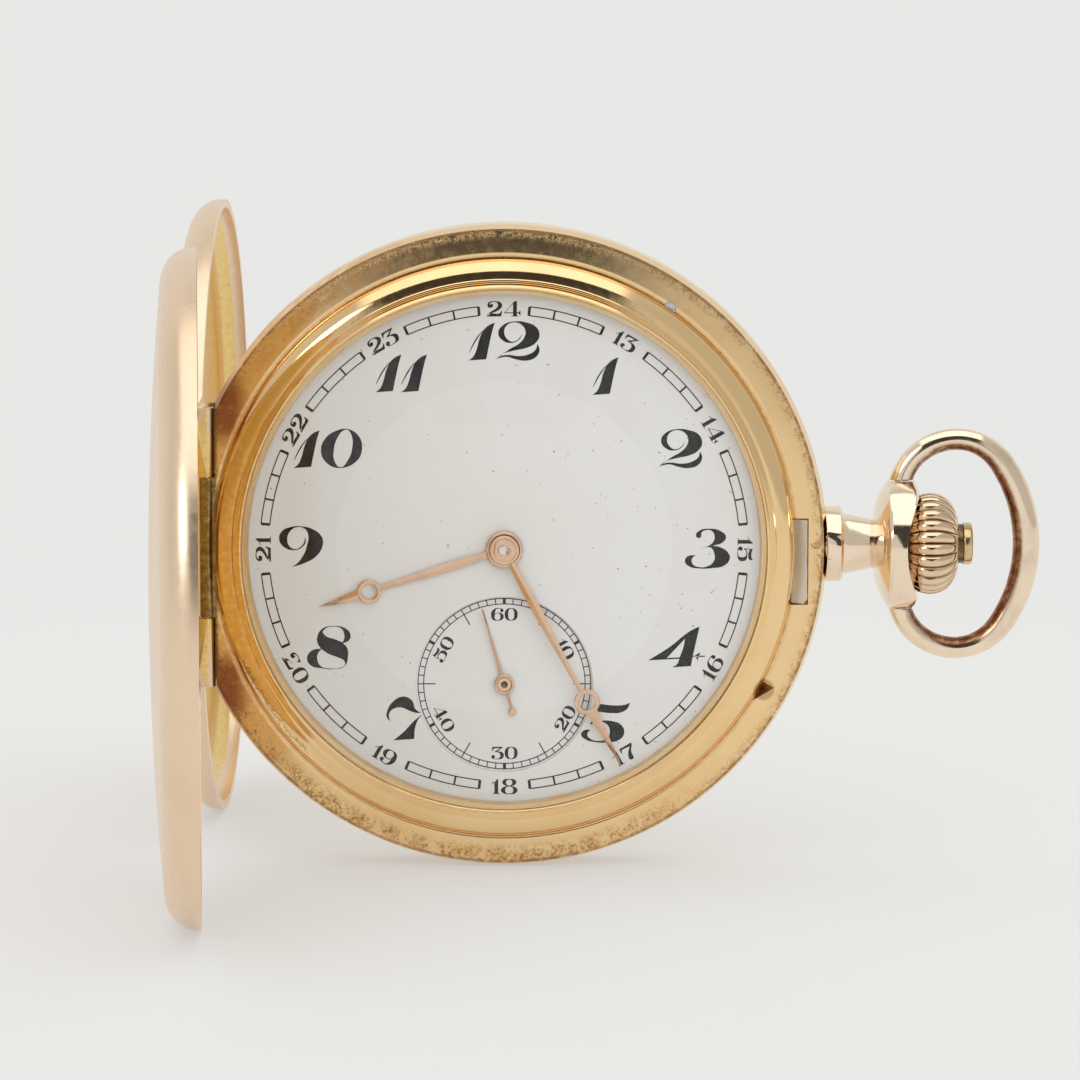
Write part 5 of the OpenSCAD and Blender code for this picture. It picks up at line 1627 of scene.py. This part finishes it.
    def post(self, name: str, r: float, z: float, at: Pair, body: str,
             finish: bpy.types.Material) -> None:
        """Turn the steel end of an arbor, with its centre hollow.

        Args:
            name: piece name.
            r: its radius.
            z: height of its shoulder.
            at: its middle in the dial's plane.
            body: body that it rides on.
            finish: its material.
        """
        dish = [(q * r, z - 0.12 + 0.13 * q * q) for q in (0.0, 0.15, 0.3, 0.45, 0.6, 0.75, 0.88)]
        form = Form().lathe([*dish, (0.96 * r, z), (r, z - 0.04), (r, z - 0.4)], steps=48, centre=(*at, 0))
        place(name, form.mesh(name, 40), finish, body)

    def dress(self, finishes: Finishes) -> None:
        """Dress the hands.

        Args:
            finishes: materials of the watch.
        """
        for hand in self.hands:
            stand_in(hand.node + "_fine", self.build(hand), finishes["hand_gold"], hand.node)
        self.post("cannon_end", 0.43, 4.42, (0, 0), "centre", finishes["steel_mirror"])
        self.post("seconds_end", 0.23, 3.32, (0, -11), "fourth", finishes["steel_dark"])


@dataclass
class Studio:
    """Pale floor, soft lamp, plain world and the camera."""

    pale: Colour = (0.806, 0.806, 0.79)
    floor_cloud: Colour = (0.80, 0.79, 0.775)
    fill: Colour = (0.62, 0.62, 0.62)
    front_fill: Colour = (1.45, 1.45, 1.45)
    around: Colour = (0.68, 0.67, 0.66)
    right: Colour = (0.56, 0.55, 0.54)
    dark: Colour = (0.045, 0.042, 0.040)
    over: Colour = (0.62, 0.61, 0.60)
    window: Colour = (1.4, 1.4, 1.36)
    glow: Colour = (5.0, 5.0, 4.9)
    glow_at: Triple = (-0.56, -0.70, 0.44)
    window_edges: Pair = (-0.577, 0.466)
    window_low: float = 0.80
    window_back: float = 0.30
    soft_edge: float = 0.04
    lamp_at: Triple = (0.05, 0.10, 0.70)
    lamp_aim: Triple = (0.0, 0.0, 0.026)
    lamp_size: Pair = (1.2, 1.0)
    lamp_power: float = 2.6
    floor_size: float = 1.2
    floor_grain: Grain = Grain(0.004, 3)
    floor_fade: Pair = (28.0, 200.0)
    distance: float = 0.455
    elevation: float = 7.5
    aim: Pair = (2.87, 0.32)
    field_of_view: float = 10.96
    sensor: float = 36.0

    def floor(self) -> None:
        """Lay the floor, which fades into the background away from the watch."""
        bm = bmesh.new()
        bmesh.ops.create_circle(bm, cap_ends=True, segments=96, radius=self.floor_size)
        mesh = bpy.data.meshes.new("floor")
        bm.to_mesh(mesh)
        bm.free()
        bench = Bench("floor_pale")
        at = bench.coords(Vector())
        x, y, _ = bench.split(at)
        cloud = bench.span(bench.noise(at, self.floor_grain), 0.3, 0.7)
        tone = bench.blend(cloud, self.pale, self.floor_cloud)
        bench.set(Base_Color=tone, Roughness=0.6, Specular_IOR_Level=0.1)
        bench.overlay(bench.span(bench.length(x, y), *self.floor_fade, 0.48, 1.0), "Emission", self.pale)
        mesh.materials.append(bench.owner)
        floor = bpy.data.objects.new("floor", mesh)
        bpy.context.scene.collection.objects.link(floor)

    def lamp(self) -> None:
        """Hang the soft box above the watch."""
        data = bpy.data.lights.new("top_box", "AREA")
        data.shape = "RECTANGLE"
        data.size, data.size_y = self.lamp_size
        data.energy = self.lamp_power
        lamp = bpy.data.objects.new("top_box", data)
        lamp.location = self.lamp_at
        down = Vector(self.lamp_aim) - lamp.location
        lamp.rotation_euler = down.to_track_quat("-Z", "Y").to_euler()
        lamp.visible_glossy = False
        bpy.context.scene.collection.objects.link(lamp)

    def mirror(self, bench: Bench, toward: Socket) -> Socket:
        """What polished metal mirrors: a studio with one window over a dark column, and one bright lamp.

        Args:
            bench: node tree of the world.
            toward: direction that is looked at.

        Returns:
            Colour.
        """
        span, times, blend = bench.span, bench.times, bench.blend
        x, y, z = bench.split(toward)
        soft, (left, right) = self.soft_edge, self.window_edges
        rise = bench.plus(z, math.sin(math.radians(self.elevation)))
        slant = bench.math("DIVIDE", x, bench.most(rise, 0.001))
        inside = times(span(slant, left - soft, left + soft), span(slant, right + soft, right - soft),
                       span(y, self.window_back + 0.05, self.window_back))
        column = blend(span(rise, self.window_low - soft, self.window_low + 0.02), self.dark, self.window)
        seen = blend(span(x, 0.1, 0.5), self.around, self.right)
        seen = blend(span(y, 0.0, 0.6), seen, self.pale)
        seen = blend(span(z, 0.70, 0.90), seen, self.over)
        seen = blend(span(z, 0.0, -0.08), seen, self.pale)
        seen = blend(times(inside, span(z, -0.10, -0.06)), seen, column)
        lamp = bench.put("VectorMath", operation="DOT_PRODUCT")
        bench.feed(lamp.inputs[0], toward)
        bench.feed(lamp.inputs[1], Vector(self.glow_at).normalized())
        return blend(span(lamp.outputs["Value"], 0.975, 0.985), seen, self.glow)

    def world(self) -> None:
        """Light evenly, show the pale background, and mirror the studio."""
        bench = Bench("studio", world=True)
        bpy.context.scene.world = bench.owner
        toward = bench.put("TexCoord").outputs["Generated"]
        path = bench.put("LightPath").outputs
        front = bench.span(bench.split(toward)[1], -0.2, -0.7)
        even = bench.blend(front, self.fill, self.front_fill)
        sky = bench.blend(path["Is Glossy Ray"], even, self.mirror(bench, toward))
        seen = bench.most(path["Is Camera Ray"], path["Is Transmission Ray"])
        bench.set(Color=bench.blend(seen, sky, self.pale))

    def camera(self) -> None:
        """Set up the camera of the photograph's view."""
        data = bpy.data.cameras.new("camera")
        data.sensor_width = self.sensor
        data.lens = self.sensor / 2 / math.tan(math.radians(self.field_of_view) / 2)
        data.clip_start, data.clip_end = 0.01, 10
        camera = bpy.data.objects.new("camera", data)
        bpy.context.scene.collection.objects.link(camera)
        e = math.radians(self.elevation)
        back = Vector((0, -math.cos(e), math.sin(e)))
        camera.location = STAND.point(*self.aim, 0) + back * self.distance
        camera.rotation_euler = (-back).to_track_quat("-Z", "Y").to_euler()
        bpy.context.scene.camera = camera

    def build(self) -> None:
        """Build the studio."""
        self.floor()
        self.lamp()
        self.world()
        self.camera()
        bpy.context.scene.view_settings.view_transform = "Standard"


def main() -> None:
    """Dress the watch, then build the studio round it."""
    logging.basicConfig(level=logging.INFO, format="%(name)s: %(message)s")
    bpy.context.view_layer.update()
    finishes = Finishes().build()
    for dress in (FrameDress(), CaseDress(), BowDress(), CrownDress(), DialPrint(), HandsDress()):
        dress.dress(finishes)
    Studio().build()


if __name__ == "__main__":
    main()
